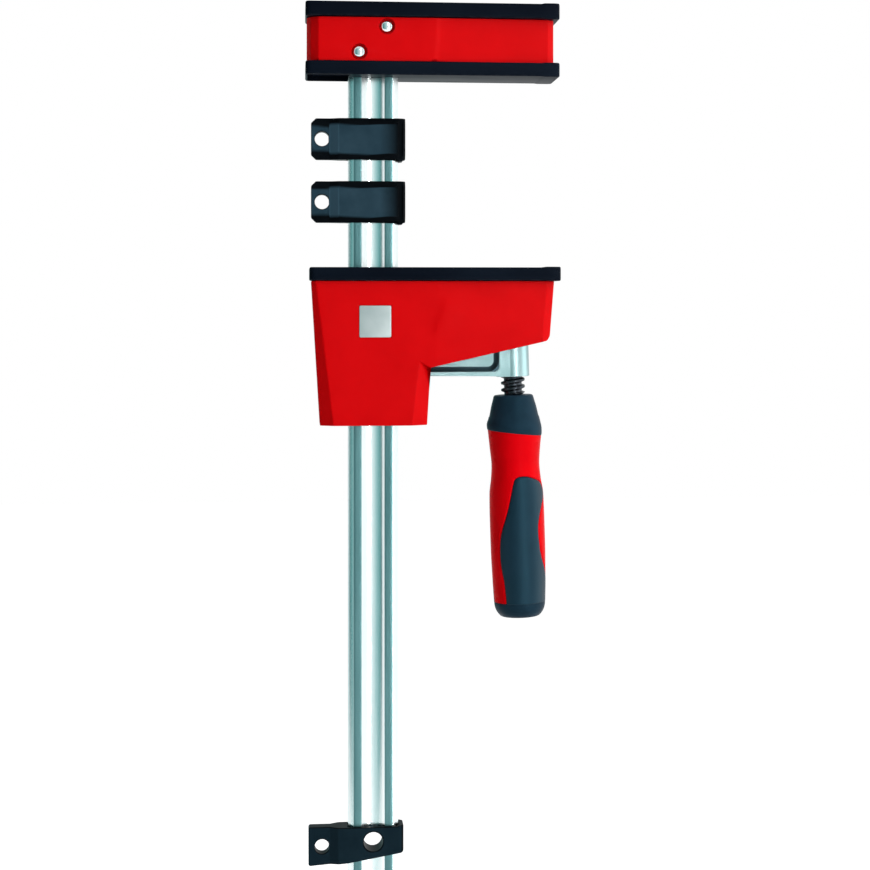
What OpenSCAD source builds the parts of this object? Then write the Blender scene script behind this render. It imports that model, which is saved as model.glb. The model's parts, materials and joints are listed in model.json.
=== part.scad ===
// Parallel clamp, in millimetres, +Z up.
// The origin is on the rail's axis in the plane of the fixed jaw's clamping face.
// The rail hangs down from there, X runs along the jaws and Y goes through their depth.

/* [Rail] */
// Width of the rail between its two serrated edges
rail_w = 29; // [28:0.5:31]
// Thickness of the rail
rail_t = 9; // [8.5:0.25:10]
// Length of rail below the clamping face
rail_below = 470; // [462:2:620]
// Width of the bevelled strip along each edge
edge_bevel_w = 3.2; // [2:0.1:4]
// How far each bevelled strip drops
edge_bevel_d = 1.6; // [0.8:0.1:2.2]
// Width of the hollow groove down each face
groove_w = 13.6; // [10:0.2:15]
// Depth of the hollow groove
groove_d = 2.2; // [1.2:0.1:2.6]
// Gap all round between the rail and what slides on it
rail_clear = 0.3; // [0.2:0.05:0.5]

/* [Jaw pads] */
// Throat, from the rail's edge to the jaw's tip
throat = 92.6; // [88:0.5:100]
// How far the fixed jaw reaches behind the rail's edge
head_overhang = 24.6; // [22:0.5:28]
// Thickness of the pads on the two clamping faces
pad_h = 8.2; // [7:0.2:11]
// Thickness of the pad on the head's top
top_pad_h = 9.2; // [7:0.2:11]
// Depth of a jaw pad from front to back
pad_d = 39; // [38:0.5:44]
// Radius of a jaw pad's corners
pad_corner_r = 3; // [1:0.5:5]

/* [Fixed head] */
// Height of the red head between its two pads
head_h = 25; // [22:0.2:30]
// Depth of both red housings from front to back
body_d = 35; // [34.6:0.1:36]
// How far the head's back end stays inside its pads
head_inset_back = 0.8; // [0.5:0.1:2]
// How far the head's tip stays inside its pads
head_inset_tip = 3; // [2:0.2:5]
// Wall of the head's two shells
head_wall = 3; // [2:0.2:3.6]
// How much thinner each shell is at the tip of a jaw
tip_taper = 2; // [1:0.2:3]
// Distance of each rivet from the rail's axis
rivet_dx = 7.9; // [6.5:0.1:8.5]
// Height of each rivet above or below the pair's middle
rivet_dz = 7.4; // [6:0.1:8]
// Height of the rivets' middle above the clamping pad
rivet_rise = 12.6; // [11.5:0.1:13]
// Shift of the rivets towards the head's back end
rivet_back = 0.6; // [0:0.1:1]
// Diameter of a rivet's shank
rivet_d = 5; // [4:0.2:5.6]
// Diameter of a rivet's domed head
rivet_head_d = 6.8; // [6.4:0.1:7.6]
// Height of a rivet's domed head
rivet_head_h = 1.7; // [1.2:0.1:2.2]
// Diameter of the recess round a rivet's head
rivet_recess_d = 9.2; // [8.4:0.1:9.6]
// Depth of the recess round a rivet's head
rivet_recess_depth = 1.2; // [0.6:0.1:1.4]

/* [Sliding jaw] */
// Opening between the two jaws at rest
jaw_gap = 109.4; // [106:0.2:150]
// How far the sliding jaw reaches behind the rail's edge
jaw_overhang = 22.3; // [21:0.5:24]
// How far the sliding jaw's pad reaches past the fixed one at the tip
jaw_tip_extra = 0.7; // [0:0.1:2]
// Height of the red housing below its pad
housing_h = 83; // [80:0.2:88]
// How far the housing stays inside its pad at the back
housing_inset_back = 1; // [0.5:0.1:2]
// How far the housing stays inside its pad at the tip
housing_inset_tip = 3.3; // [2.5:0.1:5]
// Half width of the neck at its lower end
neck_half_low = 30.8; // [30:0.2:32.5]
// Half width of the neck where it meets the arm of the jaw
neck_half_high = 32.7; // [32.6:0.1:34]
// Depth of the inner corner between neck and jaw, below the pad
neck_corner_drop = 49.8; // [49:0.2:51]
// Height of the housing at its tip
tip_h = 32; // [30:0.5:33]
// Wall along the housing's outline
housing_wall = 4; // [3.4:0.2:4.2]
// Wall of the housing's front and back
housing_front_wall = 5.2; // [4.8:0.1:5.4]
// Side of the square plate on the housing's front
plate_side = 18.2; // [14:0.2:20]
// Thickness of the square plate
plate_t = 0.9; // [0.6:0.1:1.4]
// Height of the steel core beside the rail
core_h = 28; // [26.5:0.5:28.2]
// Height of the guide that closes the neck's lower end
neck_guide_h = 9; // [6:0.5:11]
// Diameter of the pins that hold the two shells on the core
shell_pin_d = 5; // [4:0.2:5.6]

/* [Slide arm] */
// Height of the collar round the rail
collar_h = 23; // [20:0.5:24]
// Half width of the collar round the rail
collar_half_w = 24; // [22.5:0.5:24.2]
// Gap between the collar and the housing's front and back walls
collar_gap = 1.3; // [0.8:0.1:2.2]
// Depth of the arm's flanges from front to back
arm_flange_d = 19; // [14:0.5:19]
// Thickness of the arm's web
arm_web_t = 9; // [7:0.5:11]
// Height of the arm's lower flange
arm_flange_h = 2.6; // [2.2:0.2:4.4]
// How far the arm's lower face shows below the housing's inner corner
arm_show = 5.2; // [4.2:0.1:5.6]
// Diameter of the boss that takes the spindle
boss_d = 19.6; // [19:0.2:20.4]
// Length of the boss
boss_h = 23.2; // [20:0.2:23.4]

/* [Spindle] */
// Distance from the rail's axis to the spindle's upper bearing
spindle_x = 80.7; // [79.5:0.1:81.5]
// Lean of the spindle away from the rail, in degrees
spindle_lean = 1.8; // [0:0.1:2]
// Diameter over the spindle's thread
thread_d = 14; // [13:0.2:14]
// Diameter at the root of the thread
thread_root_d = 10.4; // [9.6:0.2:10.8]
// Lead of the thread
thread_lead = 4; // [3:0.5:5]
// Length of the threaded stretch
thread_l = 35; // [30:0.5:35]
// Diameter of the spindle's upper bearing
pivot_d = 8; // [7:0.2:8.4]
// Running clearance between a shaft and its bore
run_clear = 0.05; // [0.03:0.01:0.08]
// Width across the flats of the key socket in the spindle's lower end
socket_af = 6; // [6:0.1:6.4]
// Depth of the key socket
socket_depth = 9; // [6:0.5:12]

/* [Handle] */
// Length of the handle
handle_l = 129; // [128:1:150]
// Greatest radius of the handle's dark collar
collar_r = 16.1; // [15:0.1:17]
// Radius of the handle's waist
waist_r = 13.7; // [13:0.1:14.4]
// Radius of the handle's body
grip_r = 16; // [15:0.1:16.4]
// Radius of the handle where its end cap starts
grip_end_r = 14.9; // [14:0.1:15.4]
// Length of the dark collar
handle_collar_l = 22; // [20:0.5:26]
// Length of the dark end cap
end_cap_l = 8.6; // [5:0.2:9]
// Thickness of the soft grip panels
panel_t = 2.2; // [1.4:0.1:2.8]

/* [Rail pads] */
// Height of a rail pad
rail_pad_h = 24; // [22:0.2:24.4]
// Gap between the fixed jaw and the upper rail pad
upper_pad_gap = 23.5; // [23.4:0.1:30]
// Gap between the two rail pads
pad_pad_gap = 12.4; // [12:0.1:16]
// Reach of a rail pad's tab, from the rail's axis
tab_reach = 35.8; // [34:0.2:38]
// Thickness of a rail pad's tab
tab_t = 8; // [6:0.2:8.6]
// Thickness of a rail pad round the rail
clip_t = 14; // [13.6:0.2:15]
// Wall of a rail pad beside the rail
clip_side_wall = 3.8; // [2.6:0.1:4.2]
// Diameter of the hole in a tab
tab_hole_d = 8.4; // [6:0.2:10]
// Distance from the rail's axis to the hole in a tab
tab_hole_x = 29.5; // [29:0.1:30]

/* [End clip] */
// Height of the end clip's tab
end_tab_h = 22.4; // [21:0.2:24]
// Height of the end clip beside the rail's far edge
end_far_h = 15.2; // [12:0.2:16]
// Wall of the end clip beside the rail's far edge
end_side_wall = 2.7; // [2.4:0.1:3.4]
// Distance from the rail's lower end up to the end clip's top
end_clip_rise = 37; // [34:0.5:40]
// Diameter of the hanging hole in the end clip's front
hang_hole_d = 11.8; // [8:0.2:12.4]
// Distance from the end clip's top to its hanging hole
hang_hole_drop = 8.4; // [8:0.2:9]

/* [Hidden] */

// Overrun of every cut, so that it passes clean through a face
cut = 1;
// Thickness of the slices that a blended shape is drawn over
slice = 0.05;
// Gap between two pieces of one body that lie side by side
seat_gap = 0.3;
// Gap at the joint line between two shells
seam = 0.1;
// Facets of the true round shapes
$fn = 64;

// Places that follow from the sizes above
rail_half = rail_w / 2;
jaw_tip_x = rail_half + throat;
head_back_x = rail_half + head_overhang;
head_top = pad_h + head_h + top_pad_h;
rail_above = pad_h + head_h - seat_gap;
rivet_mid_z = pad_h + rivet_rise;
rail_slot_w = rail_w + 2 * rail_clear;
rail_slot_t = rail_t + 2 * rail_clear;

jaw_back_x = rail_half + jaw_overhang;
jaw_pad_tip_x = jaw_tip_x + jaw_tip_extra;
housing_top = -jaw_gap - pad_h;
housing_low = housing_top - housing_h;
housing_back_x = jaw_back_x - housing_inset_back;
housing_tip_x = jaw_pad_tip_x - housing_inset_tip;
// Depth of the hollow inside the housing, and of the collar that slides in it
cavity_d = body_d - 2 * housing_front_wall;
collar_d = cavity_d - 2 * collar_gap;
// The red fronts are flat up to a crease this far from the rail's edge, and taper from it to the tip
crease_reach = 21.5;
crease_x = rail_half + crease_reach;
// Drop of the bevels along the housing's edges for each unit of width
bevel_slope = 0.65;
// Reach of the cutters that make them
bevel_reach = 16;
// Widths of those bevels: back edge high and low, neck high and low, and tip
back_bevel_high = 2.6;
back_bevel_low = 7.8;
neck_bevel_high = 6.6;
neck_bevel_low = 9;
tip_bevel = 4.6;
// Rise of the neck's bevel where it runs out under the jaw, and its gap below the inner corner
neck_bevel_rise = 3.8;
neck_bevel_gap = 0.4;
// How far the tip's edge draws in down to its lower corner
tip_draw = 2.5;
// Size of the cut-off lower corner at the tip
tip_corner_w = 1.6;
tip_corner_h = 2.6;

// Travel of the housing against the slide arm, up and down
feed_up = 9;
feed_down = 6;
feed_spare = 1;

core_low = housing_top - core_h;
collar_top = core_low - feed_down - feed_spare;
collar_low = collar_top - collar_h;
arm_low = housing_top - neck_corner_drop - arm_show;

// The thrust seat's lower face lies this far above the core's lower face beside the rail
seat_lift = 2.6;
seat_z = core_low + seat_lift;
seat_t = 6.4;
seat_r = 7.5;
ring_r = 6;
ring_t = 1.2;
ring_groove_r = 3.2;
// Room for the retaining ring above the seat
ring_pocket_h = 4;
shoulder_gap = 0.4;
// Depths along the spindle are counted down from the thrust seat's lower face
undercut_l = 5.8;
thread_top = shoulder_gap + undercut_l;
// How far the handle laps over the thread's end
handle_lap = 0.2;
handle_top = thread_top + thread_l - handle_lap;
shank_d = 10;
thread_clear = 0.65;
boss_top = feed_down + feed_spare;

module along_spindle() {
    translate([spindle_x, 0, seat_z])
        rotate([0, -spindle_lean, 0])
            children();
}

// Plain shapes

module block(x0, x1, depth, z0, z1) {
    translate([x0, -depth / 2, z0])
        cube([x1 - x0, depth, z1 - z0]);
}

module bar_y(x, z, d, length) {
    translate([x, length / 2, z])
        rotate([90, 0, 0])
            cylinder(d = d, h = length);
}

module round_rect(x0, x1, depth, r) {
    translate([x0 + r, -depth / 2])
        square([x1 - x0 - 2 * r, depth]);
    translate([x0, -depth / 2 + r])
        square([x1 - x0, depth - 2 * r]);
    for (x = [x0 + r, x1 - r])
        for (y = [-depth / 2 + r, depth / 2 - r])
            translate([x, y])
                circle(r = r);
}

// Extrudes an outline drawn in X and Z along Y, centred on Y zero
module through_y(length) {
    translate([0, length / 2, 0])
        rotate([90, 0, 0])
            linear_extrude(height = length)
                children();
}

// Rail

groove_r = (groove_w * groove_w / 4 + groove_d * groove_d) / (2 * groove_d);

module rail_section() {
    difference() {
        polygon([
            [-rail_half, -rail_t / 2 + edge_bevel_d],
            [-rail_half + edge_bevel_w, -rail_t / 2],
            [rail_half - edge_bevel_w, -rail_t / 2],
            [rail_half, -rail_t / 2 + edge_bevel_d],
            [rail_half, rail_t / 2 - edge_bevel_d],
            [rail_half - edge_bevel_w, rail_t / 2],
            [-rail_half + edge_bevel_w, rail_t / 2],
            [-rail_half, rail_t / 2 - edge_bevel_d]
        ]);
        for (side = [-1, 1])
            translate([0, side * (rail_t / 2 - groove_d + groove_r)])
                circle(r = groove_r);
    }
}

module rail_slot(z0, z1) {
    block(-rail_slot_w / 2, rail_slot_w / 2, rail_slot_t, z0, z1);
}

rail_lock_hole_d = 13.4;

module rail() {
    color("slategray")
        difference() {
            translate([0, 0, -rail_below])
                linear_extrude(height = rail_below + rail_above)
                    rail_section();
            rivet_places()
                bar_y(0, 0, rivet_d + 2 * run_clear, rail_t + 2 * cut);
            bar_y(0, hang_hole_z, rail_lock_hole_d, rail_t + 2 * cut);
        }
}

// Fixed head

module rivet_places() {
    for (side = [-1, 1])
        translate([side * rivet_dx - rivet_back, 0, rivet_mid_z + side * rivet_dz])
            children();
}

head_x0 = -head_back_x + head_inset_back;
head_x1 = jaw_tip_x - head_inset_tip;
// Steps of the head's back end: side strip, then bevel
head_side_x = 2.2;
head_side_y = 3;
head_bevel_x = 6.6;
head_side_start = 10;
head_tip_bevel = 3.6;
head_tip_y = 5.5;

module head_plan(inset) {
    y_face = body_d / 2 - inset;
    y_tip = y_face - tip_taper;
    polygon([
        [head_x0 + inset, 0],
        [head_x0 + inset, -head_side_start + inset],
        [head_x0 + head_side_x + inset, -y_face + head_side_y],
        [head_x0 + head_bevel_x + inset, -y_face],
        [crease_x, -y_face],
        [head_x1 - head_tip_bevel - inset, -y_tip],
        [head_x1 - inset, -y_face + head_tip_y],
        [head_x1 - inset, 0]
    ]);
}

module head_prism(inset, z0, z1) {
    translate([0, 0, z0])
        linear_extrude(height = z1 - z0)
            head_plan(inset);
}

rivet_seat_y = body_d / 2 - rivet_recess_depth;

module head_shell() {
    difference() {
        head_prism(0, pad_h, pad_h + head_h);
        head_prism(head_wall, pad_h - cut, pad_h + head_h + cut);
        block(head_x0 - cut, head_x1 + cut, seam, pad_h - cut, pad_h + head_h + cut);
        rivet_places() {
            bar_y(0, 0, rivet_d + 2 * run_clear, body_d + 2 * cut);
            translate([0, -rivet_seat_y - cut, 0])
                bar_y(0, 0, rivet_recess_d, 2 * cut);
        }
    }
}

module head_shell_front() {
    color("red") head_shell();
}

module head_shell_back() {
    color("red") mirror([0, 1, 0]) head_shell();
}

core_pocket_wall = 6;
core_web_t = 8;

module head_core() {
    inset = head_wall + seat_gap;
    color("dimgray")
        difference() {
            union() {
                head_prism(inset, pad_h, pad_h + head_h);
                mirror([0, 1, 0])
                    head_prism(inset, pad_h, pad_h + head_h);
            }
            rail_slot(pad_h - cut, rail_above + seat_gap);
            rivet_places()
                bar_y(0, 0, rivet_d + 2 * run_clear, body_d);
            for (side = [-1, 1])
                translate([0, side * (core_web_t + body_d) / 2, 0])
                    block(crease_x, head_x1 - inset - core_pocket_wall, body_d,
                        pad_h + core_pocket_wall, pad_h + head_h - core_pocket_wall);
        }
}

module rivet() {
    bar_y(0, 0, rivet_d, 2 * rivet_seat_y);
    for (turn = [0, 180])
        rotate([0, 0, turn])
            translate([0, -rivet_seat_y, 0])
                rotate([90, 0, 0])
                    rivet_dome();
}

dome_r = (rivet_head_d * rivet_head_d / 4 + rivet_head_h * rivet_head_h) / (2 * rivet_head_h);

module rivet_dome() {
    intersection() {
        translate([0, 0, rivet_head_h - dome_r])
            sphere(r = dome_r);
        cylinder(d = rivet_head_d, h = rivet_head_h);
    }
}

module head_rivets() {
    color("lightgray") rivet_places() rivet();
}

module head_pad(z0, h) {
    translate([0, 0, z0])
        linear_extrude(height = h)
            round_rect(-head_back_x, jaw_tip_x, pad_d, pad_corner_r);
}

module head_clamping_pad() {
    color("darkslategray")
        difference() {
            head_pad(0, pad_h);
            rail_slot(-cut, pad_h + cut);
        }
}

module head_spreading_pad() {
    color("darkslategray") head_pad(pad_h + head_h, top_pad_h);
}

// Rail pads and end clip

clip_x1 = rail_half + rail_clear + clip_side_wall;
// Where the clip's front starts to rise from the tab, and where it is level
clip_rise_far = 10.5;
clip_rise_near = 5.5;
clip_rise_x0 = -rail_half - clip_rise_far;
clip_rise_x1 = -rail_half - clip_rise_near;
clip_end_round = 1.6;
// Bevels above and below the clip's front panel: wide at the tab, narrow at the far end
clip_bevel_wide = 4.8;
clip_bevel_narrow = 3.2;
clip_bevel_d = 2;
tab_corner = 2.8;

module clip_slice(x, depth, top, low, bevel) {
    translate([x, 0, 0])
        rotate([90, 0, 90])
            linear_extrude(height = slice)
                polygon([
                    [-depth / 2 + clip_bevel_d, top],
                    [-depth / 2, top - bevel],
                    [-depth / 2, low + bevel],
                    [-depth / 2 + clip_bevel_d, low],
                    [depth / 2 - clip_bevel_d, low],
                    [depth / 2, low + bevel],
                    [depth / 2, top - bevel],
                    [depth / 2 - clip_bevel_d, top]
                ]);
}

module rail_pad_body(h) {
    hull() {
        clip_slice(clip_rise_x0, tab_t, h / 2, -h / 2, clip_bevel_wide);
        clip_slice(clip_rise_x1, clip_t, h / 2, -h / 2, clip_bevel_wide);
        clip_slice(clip_x1 - clip_end_round, clip_t, h / 2, -h / 2, clip_bevel_narrow);
        clip_slice(clip_x1 - slice, clip_t - 2 * clip_end_round, h / 2, -h / 2, clip_bevel_narrow);
    }
}

nib_w = 2.9;
nib_h = 1;

// The flat tab, with its corners cut off and the bevels of the clip's front carried along it
module rail_pad_tab(h) {
    intersection() {
        through_y(tab_t)
            polygon([
                [-rail_half - rail_clear, h / 2],
                [-tab_reach + tab_corner, h / 2],
                [-tab_reach, h / 2 - tab_corner],
                [-tab_reach, -h / 2 + tab_corner],
                [-tab_reach + tab_corner, -h / 2],
                [-rail_half - rail_clear, -h / 2]
            ]);
        hull() {
            clip_slice(-tab_reach - cut, tab_t, h / 2, -h / 2, clip_bevel_wide);
            clip_slice(-rail_half, tab_t, h / 2, -h / 2, clip_bevel_wide);
        }
    }
}

module rail_pad(top_z) {
    h = rail_pad_h;
    translate([0, 0, top_z - h / 2])
        difference() {
            union() {
                rail_pad_body(h);
                rail_pad_tab(h);
                block(clip_x1 - clip_end_round - nib_w, clip_x1 - clip_end_round,
                    clip_t - 2 * clip_bevel_d, -h / 2 - nib_h, -h / 2 + nib_h);
            }
            rail_slot(-h, h);
            bar_y(-tab_hole_x, 0, tab_hole_d, tab_t + 2 * cut);
        }
}

upper_pad_top = -upper_pad_gap;
lower_pad_top = upper_pad_top - rail_pad_h - pad_pad_gap;

module rail_pad_upper() {
    color("darkslategray") rail_pad(upper_pad_top);
}

module rail_pad_lower() {
    color("darkslategray") rail_pad(lower_pad_top);
}

end_clip_top = end_clip_rise - rail_below;
hang_hole_z = end_clip_top - hang_hole_drop;
end_tab_hole_drop = 11.2;
// How far the end clip's tab reaches past the rail pads' tabs, and the cut-off of its corners
end_clip_extra = 1.5;
end_clip_corner = 0.8;
end_clip_x0 = -tab_reach - end_clip_extra;
end_clip_x1 = rail_half + rail_clear + end_side_wall;
// Rise of the end clip's small far corner above its top
end_nub_h = 0.6;
end_nub_w = 3.4;
// The hole behind the rail is wider than the one in front
hang_relief_d = 19;
// Share of the end clip's drop that its lower edge has reached at the rail
end_bend_share = 0.75;

module end_clip_outline() {
    top = end_clip_top;
    tab_low = top - end_tab_h;
    far_low = top - end_far_h;
    bend_low = far_low - (end_tab_h - end_far_h) * end_bend_share;
    polygon([
        [end_clip_x0 + end_clip_corner, top],
        [end_clip_x0, top - end_clip_corner],
        [end_clip_x0, tab_low + end_clip_corner],
        [end_clip_x0 + end_clip_corner, tab_low],
        [-rail_half, bend_low],
        [end_clip_x1 - end_clip_corner, far_low],
        [end_clip_x1, far_low + end_clip_corner],
        [end_clip_x1, top + end_nub_h],
        [end_clip_x1 - end_nub_w, top + end_nub_h],
        [end_clip_x1 - end_nub_w, top]
    ]);
}

module end_clip_plan() {
    polygon([
        [end_clip_x0 - cut, -tab_t / 2],
        [clip_rise_x0, -tab_t / 2],
        [clip_rise_x1, -clip_t / 2],
        [end_clip_x1 - clip_end_round, -clip_t / 2],
        [end_clip_x1, -clip_t / 2 + clip_end_round],
        [end_clip_x1, clip_t / 2 - clip_end_round],
        [end_clip_x1 - clip_end_round, clip_t / 2],
        [clip_rise_x1, clip_t / 2],
        [clip_rise_x0, tab_t / 2],
        [end_clip_x0 - cut, tab_t / 2]
    ]);
}

module rail_end_clip() {
    color("darkslategray")
        difference() {
            intersection() {
                through_y(clip_t + 2 * cut)
                    end_clip_outline();
                translate([0, 0, end_clip_top - end_tab_h - cut])
                    linear_extrude(height = end_tab_h + end_nub_h + 2 * cut)
                        end_clip_plan();
            }
            rail_slot(end_clip_top - end_tab_h - cut, end_clip_top + end_nub_h + cut);
            bar_y(0, hang_hole_z, hang_hole_d, clip_t + 2 * cut);
            translate([0, clip_t / 2, 0])
                bar_y(0, hang_hole_z, hang_relief_d, clip_t - rail_t / 2);
            bar_y(-tab_hole_x, end_clip_top - end_tab_hole_drop, tab_hole_d, tab_t + 2 * cut);
        }
}

// Slide arm

arm_slot_clear = 0.8;
arm_flange_top_h = 2.4;
pocket_corner_r = 3.4;
pocket_inset = 3;
// How far the pocket reaches past the boss's near side
pocket_lap = 1.7;

module arm_outline() {
    polygon([
        [collar_half_w - cut, collar_top],
        [spindle_x, collar_top + feed_spare],
        [spindle_x, arm_low],
        [collar_half_w - cut, arm_low]
    ]);
}

module arm_pocket_outline() {
    x0 = collar_half_w + pocket_inset;
    x1 = spindle_x - boss_d / 2 + pocket_lap;
    z0 = arm_low + arm_flange_h;
    z1 = collar_top - arm_flange_top_h;
    r = pocket_corner_r;
    translate([x0, z0 + r])
        square([x1 - x0, z1 - z0 - 2 * r]);
    translate([x0 + r, z0])
        square([x1 - x0 - 2 * r, z1 - z0]);
    for (x = [x0 + r, x1 - r])
        for (z = [z0 + r, z1 - r])
            translate([x, z])
                circle(r = r);
}

shoe_w = 5;
shoe_d = 7;
shoe_h = 13;
shoe_gap = 0.1;
shoe_x1 = -rail_half - shoe_gap;
shoe_mid_z = collar_top - collar_h / 2;
// Wall of the collar behind the brake's pocket
collar_back_wall = 1.6;
pocket_x0 = -collar_half_w + collar_back_wall;
spring_t = 0.6;
spring_x1 = shoe_x1 - shoe_w - seam;
spring_x0 = pocket_x0 + seam;
spring_half_h = 5.8;
spring_rise = spring_x1 - spring_x0;
spring_r = (spring_half_h * spring_half_h + spring_rise * spring_rise) / (2 * spring_rise);

module boss() {
    along_spindle()
        translate([0, 0, -boss_top - boss_h])
            cylinder(d = boss_d, h = boss_h);
}

module slide_arm() {
    color("silver")
        difference() {
            union() {
                block(-collar_half_w, collar_half_w, collar_d, collar_low, collar_top);
                difference() {
                    through_y(arm_flange_d)
                        arm_outline();
                    for (side = [-1, 1])
                        translate([0, side * (arm_web_t + arm_flange_d) / 2, 0])
                            through_y(arm_flange_d)
                                arm_pocket_outline();
                }
                boss();
            }
            rail_slot(collar_low - cut, collar_top + cut);
            along_spindle()
                translate([0, 0, -boss_top - boss_h - 2 * cut])
                    cylinder(d = thread_d + 2 * thread_clear, h = boss_h + 4 * cut);
            block(pocket_x0, 0, shoe_d + 2 * seam,
                shoe_mid_z - shoe_h / 2 - seam, shoe_mid_z + shoe_h / 2 + seam);
        }
}

module brake_shoe() {
    color("olive")
        block(shoe_x1 - shoe_w, shoe_x1, shoe_d,
            shoe_mid_z - shoe_h / 2, shoe_mid_z + shoe_h / 2);
}

// A bowed leaf: its middle bears on the shoe and its ends bear on the pocket's wall
module brake_spring() {
    color("gray")
        translate([spring_x1 - spring_r, 0, shoe_mid_z])
            through_y(shoe_d)
                intersection() {
                    difference() {
                        circle(r = spring_r);
                        circle(r = spring_r - spring_t);
                    }
                    translate([spring_r - spring_rise, -spring_half_h])
                        square([spring_rise + cut, 2 * spring_half_h]);
                }
}

// Sliding jaw's housing

function edge_x(z_drop) = -housing_back_x + (housing_back_x - neck_half_low) * z_drop / housing_h;

slope_top_x = housing_tip_x - tip_draw - tip_corner_w;
slope_top_drop = tip_h + tip_corner_h;
function slope_drop(x) = slope_top_drop
    + (neck_corner_drop - slope_top_drop) * (slope_top_x - x) / (slope_top_x - neck_half_high);

neck_bevel_x = neck_half_high - neck_bevel_high;
neck_bevel_z = -neck_corner_drop + neck_bevel_rise - neck_bevel_gap;
// Rise of the line on which the neck's bevel runs out, for each unit of width
run_out = neck_bevel_rise / neck_bevel_high;

module housing_outline() {
    polygon([
        [-housing_back_x, 0],
        [-neck_half_low, -housing_h],
        [neck_half_low, -housing_h],
        [neck_half_high, -neck_corner_drop],
        [slope_top_x, -slope_top_drop],
        [housing_tip_x - tip_draw, -tip_h],
        [housing_tip_x, 0]
    ]);
}

// Everything below the line on which the neck's bevel runs out
module below_run_out() {
    polygon([
        [neck_bevel_x - bevel_reach, neck_bevel_z + run_out * bevel_reach],
        [neck_bevel_x + 2 * bevel_reach, neck_bevel_z - 2 * run_out * bevel_reach],
        [neck_bevel_x + 2 * bevel_reach, -housing_h - 2 * bevel_reach],
        [neck_bevel_x - bevel_reach, -housing_h - 2 * bevel_reach]
    ]);
}

// Extrudes an outline drawn in X and Z over the front half of the housing
module through_front() {
    translate([0, -seam / 2, 0])
        rotate([90, 0, 0])
            linear_extrude(height = (body_d - seam) / 2)
                children();
}

// Cuts a flat bevel along a crease of the front face; side says on which side of it
module bevel_cutter(x_top, z_top, x_low, z_low, side) {
    lean = atan2(x_low - x_top, z_top - z_low);
    length = norm([x_low - x_top, z_low - z_top]);
    translate([x_top, -body_d / 2, z_top])
        rotate([0, -lean, 0])
            translate([0, 0, -length - bevel_reach])
                linear_extrude(height = length + 2 * bevel_reach)
                    polygon([
                        [0, 0],
                        [side * bevel_reach, bevel_reach * bevel_slope],
                        [side * bevel_reach, -bevel_reach],
                        [0, -bevel_reach]
                    ]);
}

module housing_front_half() {
    difference() {
        through_front()
            housing_outline();
        bevel_cutter(-housing_back_x + back_bevel_high, 0,
            -neck_half_low + back_bevel_low, -housing_h, -1);
        intersection() {
            bevel_cutter(neck_bevel_x, neck_bevel_z,
                neck_half_low - neck_bevel_low, -housing_h, 1);
            through_y(2 * body_d)
                below_run_out();
        }
        translate([0, 0, -housing_h])
            linear_extrude(height = 2 * housing_h)
                polygon([
                    [crease_x, -body_d / 2],
                    [housing_tip_x + tip_bevel, front_y(housing_tip_x + tip_bevel)],
                    [housing_tip_x + tip_bevel, -body_d],
                    [crease_x, -body_d]
                ]);
        translate([0, front_y(housing_tip_x - tip_draw - tip_bevel) + body_d / 2, 0])
            bevel_cutter(housing_tip_x - tip_bevel, 0,
                housing_tip_x - tip_draw - tip_bevel, -tip_h, 1);
    }
}

function front_y(x) = -body_d / 2 + tip_taper * max(0, x - crease_x) / (housing_tip_x - crease_x);

cavity_back_high = edge_x(0) + housing_wall;
cavity_back_low = edge_x(housing_h) + housing_wall;
cavity_neck_low = neck_half_low - housing_wall;
cavity_neck_high = neck_half_high - housing_wall;
cavity_tip_high = housing_tip_x - housing_wall;
cavity_tip_low = housing_tip_x - tip_draw - housing_wall;
// Top edge of the neck's inner wall, below the housing's inner corner
neck_lip_drop = neck_corner_drop + housing_wall;

// Hollow between the front and back shells, open at the top, the bottom and under the jaw
module cavity_outline() {
    translate([0, housing_top])
        polygon([
            [cavity_back_high, cut],
            [cavity_back_low, -housing_h - cut],
            [cavity_neck_low, -housing_h - cut],
            [cavity_neck_high, -neck_lip_drop],
            [neck_half_high + 2 * cut, -neck_lip_drop - cut],
            [slope_top_x - housing_wall, -slope_top_drop - 4 * cut],
            [cavity_tip_low - cut, -tip_h],
            [cavity_tip_high, cut]
        ]);
}

arm_slot_low = arm_low - feed_up - feed_spare;

// Room for the arm's boss over the housing's travel, in case the walls come close to it
module boss_space() {
    along_spindle()
        translate([0, 0, -boss_top - boss_h - feed_up])
            cylinder(d = boss_d + 2 * arm_slot_clear, h = boss_h + feed_up + feed_down);
}

module jaw_shell() {
    difference() {
        translate([0, 0, housing_top])
            housing_front_half();
        through_y(cavity_d)
            cavity_outline();
        block(cavity_neck_low - cut, neck_half_high + cut, arm_flange_d + 2 * arm_slot_clear,
            arm_slot_low, housing_top - neck_corner_drop);
        boss_space();
        shell_pin_places()
            bar_y(0, 0, shell_pin_d + 2 * run_clear, shell_pin_l + 2 * seam);
    }
}

plate_mid_x = 0.7;
plate_drop = 23.3;
plate_mid_z = housing_top - plate_drop;
plate_sink = 0.6;
plate_gap = 0.1;

module jaw_shell_front() {
    color("red")
        difference() {
            jaw_shell();
            translate([0, -body_d / 2, 0])
                block(plate_mid_x - plate_side / 2 - plate_gap, plate_mid_x + plate_side / 2 + plate_gap,
                    2 * plate_sink, plate_mid_z - plate_side / 2 - plate_gap,
                    plate_mid_z + plate_side / 2 + plate_gap);
        }
}

module jaw_shell_back() {
    color("red") mirror([0, 1, 0]) jaw_shell();
}

module jaw_plate() {
    color("whitesmoke")
        translate([0, -body_d / 2 + plate_sink - plate_t / 2, 0])
            block(plate_mid_x - plate_side / 2, plate_mid_x + plate_side / 2, plate_t,
                plate_mid_z - plate_side / 2, plate_mid_z + plate_side / 2);
}

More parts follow.
